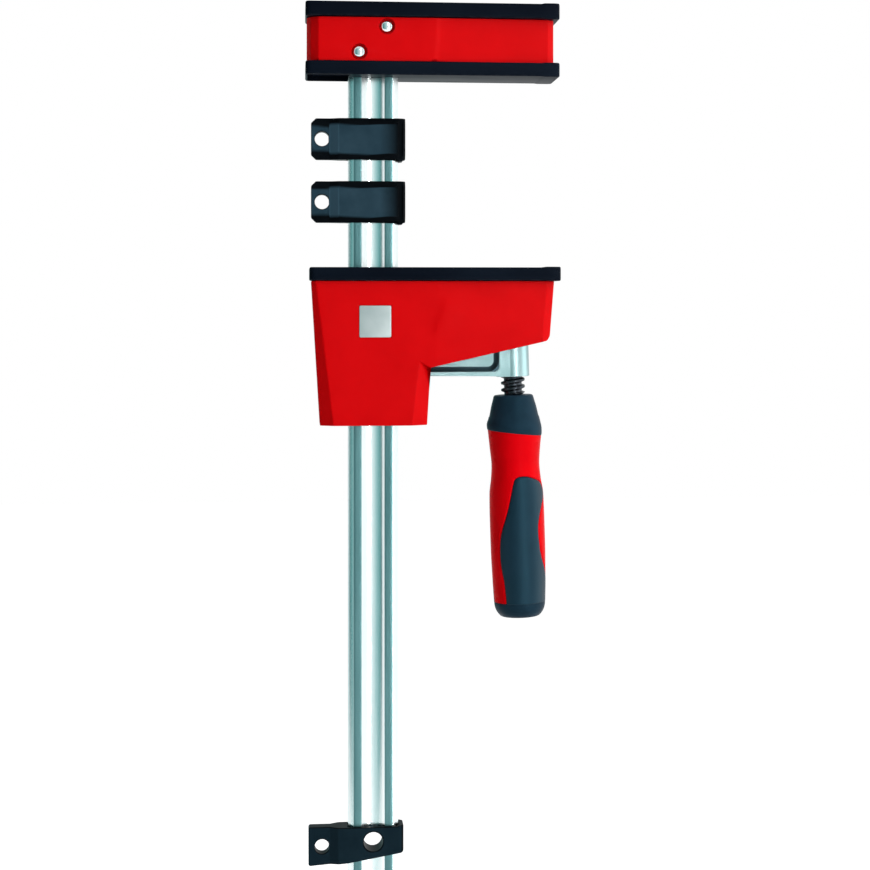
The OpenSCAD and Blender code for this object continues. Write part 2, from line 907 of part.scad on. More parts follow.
module jaw_pad() {
    color("darkslategray")
        difference() {
            translate([0, 0, housing_top])
                linear_extrude(height = pad_h)
                    round_rect(-jaw_back_x, jaw_pad_tip_x, pad_d, pad_corner_r);
            rail_slot(housing_top - cut, housing_top + pad_h + cut);
        }
}

// Pins through the core, each with both ends in a shell
shell_pin_in = 2;
shell_pin_l = cavity_d + 2 * shell_pin_in;
shell_pin_drop = 9.5;
shell_pin_back = 8.5;
shell_pin_mid = 10;
shell_pin_tip = 11;

module shell_pin_places() {
    for (x = [-rail_half - shell_pin_back, crease_x + shell_pin_mid, housing_tip_x - shell_pin_tip])
        translate([x, 0, housing_top - shell_pin_drop])
            children();
}

module jaw_shell_pins() {
    color("lightgray")
        shell_pin_places()
            bar_y(0, 0, shell_pin_d, shell_pin_l);
}

core_d = cavity_d - 2 * seat_gap;
core_beam_h = 21.6;
core_back_gap = 3;
core_back_x = cavity_back_high + core_back_gap;
// Width of the core's full-height block beyond the rail
core_block_w = 11;
// The core's blind bore reaches lower than the rest of its beam, for the thrust seat
core_boss_drop = 1;

module core_outline() {
    translate([0, housing_top])
        polygon([
            [core_back_x, 0],
            [core_back_x, -core_h],
            [rail_half + core_block_w, -core_h],
            [spindle_x - 3 / 2 * seat_r, -core_beam_h - core_boss_drop],
            [spindle_x + 5 / 4 * seat_r, -core_beam_h - core_boss_drop],
            [cavity_tip_low - core_back_gap / 2, -core_beam_h],
            [cavity_tip_high - core_back_gap / 2, 0]
        ]);
}

module jaw_core() {
    color("dimgray")
        difference() {
            through_y(core_d)
                core_outline();
            rail_slot(core_low - cut, housing_top + cut);
            shell_pin_places()
                bar_y(0, 0, shell_pin_d + 2 * run_clear, core_d + 2 * cut);
            along_spindle()
                translate([0, 0, -cut])
                    cylinder(r = seat_r + run_clear, h = seat_t + ring_pocket_h + cut);
        }
}

module jaw_neck_guide() {
    color("darkslategray")
        difference() {
            block(cavity_back_low + seat_gap, cavity_neck_low - seat_gap, core_d,
                housing_low, housing_low + neck_guide_h);
            rail_slot(housing_low - cut, housing_low + neck_guide_h + cut);
        }
}

module thrust_seat() {
    color("goldenrod")
        along_spindle()
            difference() {
                cylinder(r = seat_r, h = seat_t);
                translate([0, 0, -cut])
                    cylinder(d = pivot_d + 2 * run_clear, h = seat_t + 2 * cut);
            }
}

// Spindle, drawn with its axis along Z and its upper bearing at the thrust seat

thread_sides = 20;
rings_per_turn = 6;
thread_rings = round(thread_l / thread_lead * rings_per_turn);

// Radius of the thread: crest, flank, root and flank in turn along one lead
function thread_wave(t) = let (u = t - floor(t))
    u < 0.3 ? 1 : u < 0.5 ? (0.5 - u) / 0.2 : u < 0.8 ? 0 : (u - 0.8) / 0.2;

module thread() {
    n = thread_sides;
    root = thread_root_d / 2;
    depth = (thread_d - thread_root_d) / 2;
    points = [
        for (k = [0 : thread_rings])
            for (i = [0 : n - 1])
                let (
                    a = 360 * i / n,
                    r = root + depth * thread_wave(k / rings_per_turn - i / n)
                )
                    [r * cos(a), r * sin(a), thread_l * k / thread_rings]
    ];
    walls = [
        for (k = [0 : thread_rings - 1])
            for (i = [0 : n - 1])
                for (tri = [
                    [k * n + i, (k + 1) * n + i, (k + 1) * n + (i + 1) % n],
                    [k * n + i, (k + 1) * n + (i + 1) % n, k * n + (i + 1) % n]
                ])
                    tri
    ];
    low = [for (i = [0 : n - 1]) i];
    high = [for (i = [n - 1 : -1 : 0]) thread_rings * n + i];
    polyhedron(points = points, faces = concat([low], walls, [high]), convexity = 10);
}

// How far the upper bearing stands out above the seat, and the ring's height above the seat
pivot_show = 2.6;
ring_lift = 0.4;
pivot_top = seat_t + pivot_show;
ring_z = seat_t + ring_lift;
spindle_end = handle_top + handle_l;

module spindle() {
    color("dimgray")
        along_spindle()
            difference() {
                union() {
                    translate([0, 0, -shoulder_gap])
                        cylinder(d = pivot_d, h = shoulder_gap + pivot_top);
                    translate([0, 0, -thread_top])
                        cylinder(d = shank_d, h = undercut_l);
                    translate([0, 0, -thread_top - thread_l])
                        thread();
                    translate([0, 0, -spindle_end])
                        cylinder(d = shank_d, h = spindle_end - thread_top - thread_l);
                }
                translate([0, 0, ring_z - seam])
                    difference() {
                        cylinder(d = 2 * pivot_d, h = ring_t + 2 * seam);
                        translate([0, 0, -cut])
                            cylinder(r = ring_groove_r, h = ring_t + 2 * cut + 2 * seam);
                    }
                translate([0, 0, -spindle_end - cut])
                    cylinder(d = socket_af / cos(30), h = socket_depth + cut, $fn = 6);
            }
}

// An open ring that snaps into the groove above the thrust seat
module spindle_retaining_ring() {
    color("gainsboro")
        along_spindle()
            translate([0, 0, ring_z])
                difference() {
                    cylinder(r = ring_r, h = ring_t);
                    translate([0, 0, -cut])
                        cylinder(r = ring_groove_r + run_clear, h = ring_t + 2 * cut);
                    translate([0, -ring_groove_r, -cut])
                        cube([ring_r + cut, 2 * ring_groove_r, ring_t + 2 * cut]);
                }
}

// Handle: radius at each depth below its top

collar_neck_r = 11.6;
collar_edge = 1.2;
collar_tail_r = 15.5;
collar_tail_l = 2.4;
cap_end_r = 11.5;
cap_round = 0.8;
bore_r = shank_d / 2 + run_clear;

// Shares of the way from the collar's neck radius to its greatest one, and of its length
collar_share = [[0.33, 0.29], [0.62, 0.59], [0.92, 0.83]];

collar_profile = concat(
    [[collar_neck_r - collar_edge, 0], [collar_neck_r, collar_edge]],
    [
        for (share = collar_share)
            [collar_neck_r + (collar_r - collar_neck_r) * share[0], handle_collar_l * share[1]]
    ],
    [[collar_r, handle_collar_l - collar_tail_l], [collar_tail_r, handle_collar_l]]
);

body_l = handle_l - end_cap_l - handle_collar_l;
// Shares of the body's length, and of the way from the waist's radius to the grip's
body_share = [
    [0, 0.84], [0.08, 0.5], [0.19, 0.14], [0.27, 0.38], [0.36, 0.88], [0.5, 1], [0.66, 1]
];
// The same for the body's lower end, on the way from the grip's radius to the end cap's
body_end_share = [[0.86, 0.4], [1, 1]];

body_profile = concat(
    [
        for (share = body_share)
            [waist_r + (grip_r - waist_r) * share[1], handle_collar_l + body_l * share[0]]
    ],
    [
        for (share = body_end_share)
            [grip_r + (grip_end_r - grip_r) * share[1], handle_collar_l + body_l * share[0]]
    ]
);

cap_profile = [
    [grip_end_r, handle_l - end_cap_l],
    [grip_end_r - cap_round, handle_l - end_cap_l / 2],
    [cap_end_r + cap_round, handle_l - cap_round],
    [cap_end_r, handle_l]
];

// Revolves a profile of [radius, depth] pairs about the spindle's axis, with a bore or an inner wall
module turned(profile, inner) {
    last = len(profile) - 1;
    along_spindle()
        translate([0, 0, -handle_top])
            rotate_extrude()
                polygon(concat(
                    [[inner, -profile[0][1]]],
                    [for (p = profile) [p[0], -p[1]]],
                    [[inner, -profile[last][1]]]
                ));
}

module handle_collar() {
    color("darkslategray") turned(collar_profile, bore_r);
}

module handle_end_cap() {
    color("darkslategray") turned(cap_profile, bore_r);
}

// Outline of a soft panel as shares of the body's radius and length
panel_share = [
    [-0.11, 0.255], [0.3, 0.251], [0.62, 0.267], [0.9, 0.287], [0.98, 0.316], [0.99, 0.367],
    [0.95, 0.408], [0.87, 0.438], [0.74, 0.505], [0.69, 0.586], [0.74, 0.661], [0.77, 0.706],
    [0.87, 0.765], [0.95, 0.806], [0.98, 0.847], [0.98, 1.1], [-0.6, 1.1], [-0.62, 0.994],
    [-0.63, 0.931], [-0.66, 0.863], [-0.72, 0.809], [-0.76, 0.752], [-0.74, 0.644],
    [-0.69, 0.586], [-0.49, 0.483], [-0.35, 0.393], [-0.21, 0.285]
];

module panel_stack() {
    along_spindle()
        translate([0, 0, -handle_top - handle_collar_l])
            rotate([90, 0, 0])
                linear_extrude(height = 2 * grip_r)
                    polygon([for (p = panel_share) [grip_r * p[0], -body_l * p[1]]]);
}

module front_panel() {
    intersection() {
        panel_stack();
        turned(body_profile, grip_end_r - panel_t);
    }
}

// Room for a panel, cut past the body's surface down to the panel's inner wall
module panel_recess() {
    difference() {
        panel_stack();
        along_spindle()
            translate([0, 0, -2 * handle_l])
                cylinder(r = grip_end_r - panel_t, h = 2 * handle_l);
    }
}

module about_spindle_half_turn() {
    along_spindle()
        rotate([0, 0, 180])
            unspin() children();
}

// Undoes the spindle's placing, so that a placed shape can be turned about its axis
module unspin() {
    rotate([0, spindle_lean, 0])
        translate([-spindle_x, 0, -seat_z])
            children();
}

module handle_core() {
    color("red")
        difference() {
            turned(body_profile, bore_r);
            panel_recess();
            about_spindle_half_turn() panel_recess();
        }
}

module handle_grip_front() {
    color("darkslategray") front_panel();
}

module handle_grip_back() {
    color("darkslategray") about_spindle_half_turn() front_panel();
}

rail();
head_core();
head_shell_front();
head_shell_back();
head_rivets();
head_clamping_pad();
head_spreading_pad();
rail_end_clip();
rail_pad_upper();
rail_pad_lower();
slide_arm();
brake_shoe();
brake_spring();
jaw_core();
jaw_shell_front();
jaw_shell_back();
jaw_shell_pins();
jaw_pad();
jaw_neck_guide();
jaw_plate();
thrust_seat();
spindle();
spindle_retaining_ring();
handle_core();
handle_collar();
handle_grip_front();
handle_grip_back();
handle_end_cap();
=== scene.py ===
# %% [markdown]
# A parallel clamp holds two long jaws square to a steel rail. This script dresses its packed
# construction model: the frame gives every piece its place and its body, and each cell below
# adds one piece or one finish. Lengths are written in millimetres and turned into metres once,
# when a mesh is made.

# %% Load the frame
import json
import math

import bmesh
import bpy
import numpy as np
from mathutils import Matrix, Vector


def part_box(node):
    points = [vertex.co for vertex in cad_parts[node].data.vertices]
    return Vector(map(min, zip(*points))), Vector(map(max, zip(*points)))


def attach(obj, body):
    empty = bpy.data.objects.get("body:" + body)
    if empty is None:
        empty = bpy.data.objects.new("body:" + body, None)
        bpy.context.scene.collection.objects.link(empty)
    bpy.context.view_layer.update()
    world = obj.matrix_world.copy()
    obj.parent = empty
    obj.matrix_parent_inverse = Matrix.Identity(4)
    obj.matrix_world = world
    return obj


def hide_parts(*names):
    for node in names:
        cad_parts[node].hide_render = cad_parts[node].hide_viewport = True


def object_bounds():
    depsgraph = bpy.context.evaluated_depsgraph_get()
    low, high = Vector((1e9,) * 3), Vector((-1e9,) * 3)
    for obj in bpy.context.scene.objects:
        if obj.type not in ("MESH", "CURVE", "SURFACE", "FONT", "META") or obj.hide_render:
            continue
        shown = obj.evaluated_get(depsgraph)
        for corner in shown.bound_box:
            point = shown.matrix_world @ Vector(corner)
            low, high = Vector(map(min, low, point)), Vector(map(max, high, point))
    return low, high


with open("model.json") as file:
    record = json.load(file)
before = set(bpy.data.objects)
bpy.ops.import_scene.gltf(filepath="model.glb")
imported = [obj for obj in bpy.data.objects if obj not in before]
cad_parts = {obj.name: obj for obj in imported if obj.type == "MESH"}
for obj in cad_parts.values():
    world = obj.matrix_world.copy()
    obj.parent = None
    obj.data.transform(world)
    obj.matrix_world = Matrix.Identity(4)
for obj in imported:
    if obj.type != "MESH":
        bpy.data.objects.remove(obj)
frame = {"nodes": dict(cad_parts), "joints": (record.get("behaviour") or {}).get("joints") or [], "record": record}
cad_box = [[float(c) for c in corner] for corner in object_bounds()]
MM = 0.001


def node_box(node):
    """Lowest and highest corner of a construction node, as two arrays in millimetres."""
    low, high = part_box(node)
    return np.array(low) / MM, np.array(high) / MM


def joint_named(name):
    """The joint's entry in the record."""
    return next(j for j in frame["joints"] if j["name"] == name)


def place_object(name, data):
    """A new object of this name and data, linked to the scene."""
    made = bpy.data.objects.new(name, data)
    bpy.context.scene.collection.objects.link(made)
    return made

# %% [markdown]
# The photograph is taken almost square to the jaws, from a little more than a metre, with the
# camera turned a few degrees. It was aimed level and then cropped, so the lens is shifted
# instead of tilted: upright edges stay upright.

# %% Camera
PHOTO_SIDE = 870
FOCAL_PX = 1935
PRINCIPAL_PX = (487.2, 300)
CAMERA_AT = (-43.6, -1125, -128.6)
CAMERA_YAW = math.radians(5.6)

camera_data = bpy.data.cameras.new("camera")
camera_data.sensor_width = 36
camera_data.lens = camera_data.sensor_width * FOCAL_PX / PHOTO_SIDE
camera_data.shift_x = (PHOTO_SIDE / 2 - PRINCIPAL_PX[0]) / PHOTO_SIDE
camera_data.shift_y = (PRINCIPAL_PX[1] - PHOTO_SIDE / 2) / PHOTO_SIDE
camera_data.dof.use_dof = False
camera = place_object("camera", camera_data)
camera.location = [c * MM for c in CAMERA_AT]
camera.rotation_euler = (math.radians(90), 0, -CAMERA_YAW)
bpy.context.scene.camera = camera
bpy.context.scene.view_settings.view_transform = "Standard"
print("lens", round(camera_data.lens, 2), "mm")

# %% [markdown]
# Every material here, and the light of the surround, is a tree of shader nodes. Four helpers
# join nodes, add them and calculate with them, so that a tree reads like its formula.

# %% Node helpers
def link_nodes(tree, source, target):
    """Joins one socket to another."""
    tree.links.new(source, target)


def add_node(tree, kind, inputs=None, **settings):
    """Adds a shader node, applies its settings, then fills or links its inputs."""
    made = tree.nodes.new(kind)
    for key, value in settings.items():
        setattr(made, key, value)
    for key, value in (inputs or {}).items():
        if isinstance(value, bpy.types.NodeSocket):
            link_nodes(tree, value, made.inputs[key])
        else:
            made.inputs[key].default_value = value
    return made


def calculate(tree, operation, *values):
    """The result of a maths node with these values or sockets."""
    return add_node(tree, "ShaderNodeMath", dict(enumerate(values)), operation=operation).outputs[0]


def spread(tree, value, low, high, to_low=0.0, to_high=1.0):
    """Maps low..high to to_low..to_high and stops there."""
    inputs = {"Value": value, "From Min": low, "From Max": high, "To Min": to_low, "To Max": to_high}
    return add_node(tree, "ShaderNodeMapRange", inputs, clamp=True).outputs[0]

# %% [markdown]
# The studio is plain: a pale floor well below the rail's end and a white surround. Both are
# white to the eye, but light the clamp no more than a grey room would, because the light path
# tells a ray that is seen from one that only lights.

# %% Studio
FLOOR_DROP = 400
FLOOR_SIDE = 12000
FLOOR_GLOW = 0.84
FLOOR_SHADE = (0.82, 0.82, 0.82, 1)
WORLD_WHITE, WORLD_FILL = 1.0, 0.23


def pale_to_rays(tree, seen, unseen):
    """Mixes two shaders: camera, glossy and transmission rays see the first, the rest the second."""
    ray = add_node(tree, "ShaderNodeLightPath").outputs
    either = calculate(tree, "MAXIMUM", ray["Is Camera Ray"], ray["Is Glossy Ray"])
    every = calculate(tree, "MAXIMUM", either, ray["Is Transmission Ray"])
    return add_node(tree, "ShaderNodeMixShader", {0: every, 1: unseen, 2: seen}).outputs[0]


def make_world():
    """A white surround to look at, and an even grey fill that lights the object."""
    world = bpy.data.worlds.new("surround")
    bpy.context.scene.world = world
    world.use_nodes = True
    tree = world.node_tree
    tree.nodes.clear()
    white, fill = (
        add_node(tree, "ShaderNodeBackground", {"Color": (1, 1, 1, 1), "Strength": level}).outputs[0]
        for level in (WORLD_WHITE, WORLD_FILL))
    add_node(tree, "ShaderNodeOutputWorld", {"Surface": pale_to_rays(tree, white, fill)})


def flat_sheet(name, corners):
    """A single face through four corners in millimetres, and the empty tree of its material."""
    mesh = bpy.data.meshes.new(name)
    mesh.from_pydata([[c * MM for c in p] for p in corners], [], [(0, 1, 2, 3)])
    material = bpy.data.materials.new(name)
    material.use_nodes = True
    material.node_tree.nodes.clear()
    mesh.materials.append(material)
    sheet = place_object(name, mesh)
    return sheet, material.node_tree


def make_floor():
    """A pale floor that glows white to the eye and still takes the object's shadow."""
    z = cad_box[0][2] / MM - FLOOR_DROP
    half = FLOOR_SIDE / 2
    _, tree = flat_sheet("floor", [(-half, -half, z), (half, -half, z), (half, half, z), (-half, half, z)])
    diffuse = add_node(tree, "ShaderNodeBsdfDiffuse", {"Color": FLOOR_SHADE}).outputs[0]
    glow = add_node(tree, "ShaderNodeEmission", {"Strength": FLOOR_GLOW}).outputs[0]
    both = add_node(tree, "ShaderNodeAddShader", {0: diffuse, 1: glow}).outputs[0]
    add_node(tree, "ShaderNodeOutputMaterial", {"Surface": pale_to_rays(tree, both, diffuse)})


make_world()
make_floor()
print("floor", FLOOR_DROP, "mm below the rail's end")

# %% [markdown]
# Cards stand behind the camera, on both sides and behind the clamp, and show only in reflections.
# Photographers hang them there so that polished steel gets dark lines beside its bright ones.
# The front and back cards are graded from dull teal on the left to white on the right, which
# shades the hollow groove of the rail and the round boss of the arm. A narrow bright strip and
# the card on the right give the boss and the slanted red faces their sheen.

# %% Reflection cards
LOOK_AT = (40, 0, -150)
CARD_RAMP_X = (-1550, 250)
CARD_RED = dict(power=2.2, low=0.06, gain=0.86)
CARD_TEAL = dict(power=1.3, low=0.16, gain=0.79)
CARD_HALF_HEIGHT = 1700
CARDS = {
    "card_front": ((-1660, -1400), (700, -1400)),
    "card_left": ((-1900, 1500), (-1900, -850)),
    "card_strip": ((560, -1390), (660, -1390)),
    "card_right": ((1500, -600), (1500, 500)),
    "card_back": ((700, 1400), (-1660, 1400)),
}
CARD_GLOW = {"card_strip": 20.0, "card_right": 2.6}


def card_channel(tree, ramp, power, low, gain):
    """One channel of a card's colour at the ramp's value r: low + gain r^power."""
    return calculate(tree, "MULTIPLY_ADD", calculate(tree, "POWER", ramp, power), gain, low)


def make_card(name, start, end):
    """An upright card between two points seen from above, which only reflections see."""
    low, high = LOOK_AT[2] - CARD_HALF_HEIGHT, LOOK_AT[2] + CARD_HALF_HEIGHT
    card, tree = flat_sheet(name, [(*start, low), (*end, low), (*end, high), (*start, high)])
    place = add_node(tree, "ShaderNodeTexCoord").outputs["Object"]
    across = add_node(tree, "ShaderNodeSeparateXYZ", {0: place}).outputs["X"]
    ramp = spread(tree, across, *(x * MM for x in CARD_RAMP_X))
    red, teal = (card_channel(tree, ramp, **curve) for curve in (CARD_RED, CARD_TEAL))
    colour = add_node(tree, "ShaderNodeCombineColor", {"Red": red, "Green": teal, "Blue": teal})
    light = {"Color": colour.outputs[0], "Strength": CARD_GLOW.get(name, 1.0)}
    glow = add_node(tree, "ShaderNodeEmission", light)
    add_node(tree, "ShaderNodeOutputMaterial", {"Surface": glow.outputs[0]})
    for ray in ("camera", "diffuse", "shadow", "transmission", "volume_scatter"):
        setattr(card, "visible_" + ray, False)


for card_name, card_ends in CARDS.items():
    make_card(card_name, *card_ends)
print("cards", list(CARDS))

# %% [markdown]
# A large soft lamp stands to the right, weaker ones to the left, behind and low in front, and
# one overhead. All are turned towards the middle of the jaws.

# %% Lamps
LAMPS = {
    "key_right": dict(at=(780, -700, 100), size=(600, 1500), watts=12),
    "fill_left": dict(at=(-1300, -500, -50), size=(700, 1500), watts=0.8),
    "overhead": dict(at=(100, -300, 1300), size=(1200, 1200), watts=8),
    "fill_back": dict(at=(-500, 1150, 100), size=(900, 1500), watts=9),
    "front_low": dict(at=(350, -1150, -850), size=(900, 500), watts=2),
}


def make_lamp(name, at, size, watts):
    """A rectangular soft lamp turned towards the clamp, which reflections don't show."""
    data = bpy.data.lights.new(name, "AREA")
    data.shape = "RECTANGLE"
    data.size, data.size_y = (side * MM for side in size)
    data.energy = watts
    lamp = place_object(name, data)
    lamp.location = [c * MM for c in at]
    toward = (np.array(LOOK_AT) - np.array(at)).astype(float)
    lamp.rotation_euler = Vector(toward).to_track_quat("-Z", "Y").to_euler()
    lamp.visible_glossy = False


for lamp_name, lamp_values in LAMPS.items():
    make_lamp(lamp_name, **lamp_values)
print("lamps", list(LAMPS))

# %% [markdown]
# Every new piece is a surface worked out as arrays. A grid of points becomes quads in one step,
# a stack of rings becomes a closed skin, and corners are rounded in the outline before anything
# is made, because no real moulding or casting has a knife edge.

# %% Surfaces from arrays
ROUND_STEPS = 5
SAME_POINT = 1e-6


def grid_faces(rows, columns):
    """Quads between neighbouring rows and columns of a grid whose last column meets the first."""
    index = np.arange(rows * columns).reshape(rows, columns)
    right = np.roll(index, -1, axis=1)
    return np.stack([index[:-1], right[:-1], right[1:], index[1:]], axis=-1).reshape(-1, 4)


def soften(outline, radii, steps=ROUND_STEPS):
    """Rounds an outline's corners: corner B between A and C becomes (1-t)^2 P + 2t(1-t) B + t^2 Q,
    where P and Q lie at that corner's radius from B, towards A and towards C."""
    outline = np.asarray(outline, float)
    radii = np.broadcast_to(np.asarray(radii, float), len(outline))[:, None]

    def toward(other):
        gap = other - outline
        return outline + gap / np.linalg.norm(gap, axis=1, keepdims=True) * radii

    start, end = toward(np.roll(outline, 1, axis=0)), toward(np.roll(outline, -1, axis=0))
    t = np.linspace(0, 1, steps)[None, :, None]
    curve = (1 - t) ** 2 * start[:, None] + 2 * t * (1 - t) * outline[:, None] + t**2 * end[:, None]
    points = curve.reshape(-1, outline.shape[1])
    return points[np.linalg.norm(points - np.roll(points, 1, axis=0), axis=1) > SAME_POINT]


def inward(outline, distance):
    """Moves each point of a closed outline, drawn anticlockwise, inward by a distance, along the
    mitre of its two edges: (n1 + n2) / (1 + n1.n2)."""
    along = np.roll(outline, -1, axis=0) - outline
    along /= np.linalg.norm(along, axis=1, keepdims=True)
    normal = np.stack([-along[:, 1], along[:, 0]], axis=1)
    before = np.roll(normal, 1, axis=0)
    mitre = (normal + before) / (1 + (normal * before).sum(axis=1, keepdims=True))
    return outline + distance * mitre


def edge_arc(radius):
    """Inset and rise along a quarter circle: radius (1 - sin a) and radius (1 - cos a)."""
    a = np.linspace(0, math.pi / 2, ROUND_STEPS)
    return radius * (1 - np.sin(a)), radius * (1 - np.cos(a))


def slab_rings(outline, low, high, edge):
    """Rings of a slab with rounded edges: inset at the low face, full in the middle, inset at the top."""
    inset, rise = edge_arc(edge)
    insets = np.concatenate([inset, inset[::-1]])
    heights = np.concatenate([low + rise, high - rise[::-1]])
    return np.stack([
        np.column_stack([inward(outline, d), np.full(len(outline), z)])
        for d, z in zip(insets, heights)
    ])


def closed_skin(rings):
    """Points and faces of a closed skin over a stack of rings, with a flat face on each end."""
    count, around, _ = rings.shape
    last = (count - 1) * around
    ends = [list(range(around))[::-1], list(range(last, last + around))]
    return rings.reshape(-1, 3), grid_faces(count, around).tolist() + ends


def looped_skin(rings):
    """Points and faces of a skin over a stack of rings whose last ring lies on its first."""
    return rings.reshape(-1, 3), grid_faces(*rings.shape[:2]).tolist()

# %% [markdown]
# A finished piece is an object at the origin, and its place is in its points. The helpers below
# make one from arrays, even out its shading, cut it with other pieces, and give it its material
# and the body it rides on.

# %% Pieces
WELD_METRES = 1e-7


def new_piece(name, points, faces, recalculate=True):
    """A mesh object at the origin from points in millimetres, smooth shaded, faces outward."""
    mesh = bpy.data.meshes.new(name)
    mesh.from_pydata((np.asarray(points) * MM).tolist(), [], faces)
    if recalculate:
        bm = bmesh.new()
        bm.from_mesh(mesh)
        bmesh.ops.remove_doubles(bm, verts=bm.verts, dist=WELD_METRES)
        bmesh.ops.recalc_face_normals(bm, faces=bm.faces)
        bm.to_mesh(mesh)
        bm.free()
    mesh.shade_smooth()
    return place_object(name, mesh)


def even_shading(piece):
    """Lets large flat faces set the shading, so that they look flat up to their rounded edges."""
    modifier = piece.modifiers.new("even_shading", "WEIGHTED_NORMAL")
    modifier.keep_sharp = True
    modifier.weight = 100
    return piece


def keep_modified(piece):
    """Replaces a piece's mesh by what its modifiers make of it."""
    graph = bpy.context.evaluated_depsgraph_get()
    mesh = bpy.data.meshes.new_from_object(piece.evaluated_get(graph))
    piece.modifiers.clear()
    piece.data = mesh
    return piece


def carve(piece, *cutters):
    """Cuts the cutters out of a piece and deletes them."""
    for cutter in cutters:
        modifier = piece.modifiers.new("carve", "BOOLEAN")
        modifier.operation = "DIFFERENCE"
        modifier.solver = "EXACT"
        modifier.object = cutter
    keep_modified(piece)
    for cutter in cutters:
        bpy.data.objects.remove(cutter)
    return piece


def dress(piece, material, body, slot, *nodes):
    """Gives a piece its material, the body it rides on and the nodes it stands for; the slot argument is not used.
    """
    piece.data.materials.clear()
    piece.data.materials.append(material)
    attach(piece, body)
    if nodes:
        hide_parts(*nodes)
    triangles = sum(len(p.vertices) - 2 for p in piece.data.polygons)
    print(piece.name, "rides on", body, "with", triangles, "triangles before modifiers")
    return piece

# %% [markdown]
# The finishes come from a few effects that several materials share: uneven patches, moulded
# grain, drawn or brushed lines and worn edges. Each effect is a node group, built once, and
# each material sets it to its own values. They all read object coordinates, which for these
# pieces are the real position in metres, so a grain of a third of a millimetre is that size
# wherever it lies.

# %% Shader effects
PATCH_RANGE = (0.32, 0.68)
FINER_GRAIN, CELL_SHARE = 1.7, 0.8
WORN_POINTINESS, WEAR_GAPS = (0.53, 0.60), (0.42, 0.62)
UNSTRETCHED = (1.0, 1.0, 1.0)


def new_effect(name, inputs, output):
    """An empty node group with named float inputs and one named float output."""
    tree = bpy.data.node_groups.new(name, "ShaderNodeTree")
    for socket_name, value in inputs.items():
        kind = "NodeSocketVector" if isinstance(value, tuple) else "NodeSocketFloat"
        socket = tree.interface.new_socket(socket_name, in_out="INPUT", socket_type=kind)
        socket.default_value = value
    tree.interface.new_socket(output, in_out="OUTPUT", socket_type="NodeSocketFloat")
    given = tree.nodes.new("NodeGroupInput").outputs
    result = tree.nodes.new("NodeGroupOutput").inputs
    return tree, given, result


def object_place(tree, stretch=UNSTRETCHED):
    """Object coordinates times a stretch along each axis."""
    place = add_node(tree, "ShaderNodeTexCoord").outputs["Object"]
    scaled = {0: place, 1: stretch}
    return add_node(tree, "ShaderNodeVectorMath", scaled, operation="MULTIPLY").outputs[0]


def noise_at(tree, place, scale, detail=3.0, roughness=0.55):
    """A noise texture's value, about 0.5 on average."""
    inputs = {"Vector": place, "Scale": scale, "Detail": detail, "Roughness": roughness}
    return add_node(tree, "ShaderNodeTexNoise", inputs).outputs[0]


def make_patches():
    """Soft uneven patches from 0 to 1, as on any moulding or plating."""
    tree, given, result = new_effect("patches", {"Scale": 60.0, "Stretch": UNSTRETCHED}, "Patch")
    noise = noise_at(tree, object_place(tree, given["Stretch"]), given["Scale"])
    link_nodes(tree, spread(tree, noise, *PATCH_RANGE), result["Patch"])
    return tree


def make_moulded_grain():
    """Height of a spark-eroded mould's grain: small cells under finer noise."""
    tree, given, result = new_effect("moulded_grain", {"Scale": 2500.0}, "Height")
    place = object_place(tree)
    cells = add_node(tree, "ShaderNodeTexVoronoi", {"Vector": place, "Scale": given["Scale"]},
                     feature="SMOOTH_F1")
    finer = noise_at(tree, place, calculate(tree, "MULTIPLY", given["Scale"], FINER_GRAIN), detail=2.0)
    both = calculate(tree, "MULTIPLY_ADD", cells.outputs[0], CELL_SHARE, finer)
    link_nodes(tree, both, result["Height"])
    return tree


def make_drawn_lines():
    """Height of fine parallel lines: noise squeezed hard across the direction of drawing."""
    tree, given, result = new_effect(
        "drawn_lines", {"Scale": 900.0, "Stretch": (1.0, 1.0, 0.02)}, "Height")
    place = object_place(tree, given["Stretch"])
    fine = noise_at(tree, place, given["Scale"], detail=4.0, roughness=0.7)
    link_nodes(tree, fine, result["Height"])
    return tree


def make_edge_wear():
    """1 on outer edges that hands and benches rub, broken up by noise, and 0 elsewhere."""
    tree, given, result = new_effect("edge_wear", {"Amount": 0.5, "Scale": 180.0}, "Wear")
    pointiness = add_node(tree, "ShaderNodeNewGeometry").outputs["Pointiness"]
    edge = spread(tree, pointiness, *WORN_POINTINESS)
    broken = spread(tree, noise_at(tree, object_place(tree), given["Scale"]), *WEAR_GAPS)
    worn = calculate(tree, "MULTIPLY", calculate(tree, "MULTIPLY", edge, broken), given["Amount"])
    link_nodes(tree, worn, result["Wear"])
    return tree


EFFECTS = {"patches": make_patches(), "moulded_grain": make_moulded_grain(),
           "drawn_lines": make_drawn_lines(), "edge_wear": make_edge_wear()}


def effect(tree, name, **values):
    """Places a shared effect in a material with that material's values and returns its output."""
    placed = add_node(tree, "ShaderNodeGroup", node_tree=EFFECTS[name])
    for key, value in values.items():
        placed.inputs[key].default_value = value
    return placed.outputs[0]


print("effects", list(EFFECTS))

# %% [markdown]
# One function turns a row of values into a finished material: two close shades that the patches
# mix, a roughness that wanders a little, a bump of grain or of drawn lines whose height is
# stated in millimetres, and a rubbed shade on the edges. Constants stay on the shader's own
# sockets.

# %% Finish maker
def tint(tree, amount, plain, other):
    """Mixes two colours by an amount from 0 to 1; each is a socket or three linear values."""
    mix = add_node(tree, "ShaderNodeMix", data_type="RGBA")
    link_nodes(tree, amount, mix.inputs[0])
    for index, colour in ((6, plain), (7, other)):
        if isinstance(colour, bpy.types.NodeSocket):
            link_nodes(tree, colour, mix.inputs[index])
        else:
            mix.inputs[index].default_value = (*colour, 1)
    return mix.outputs[2]


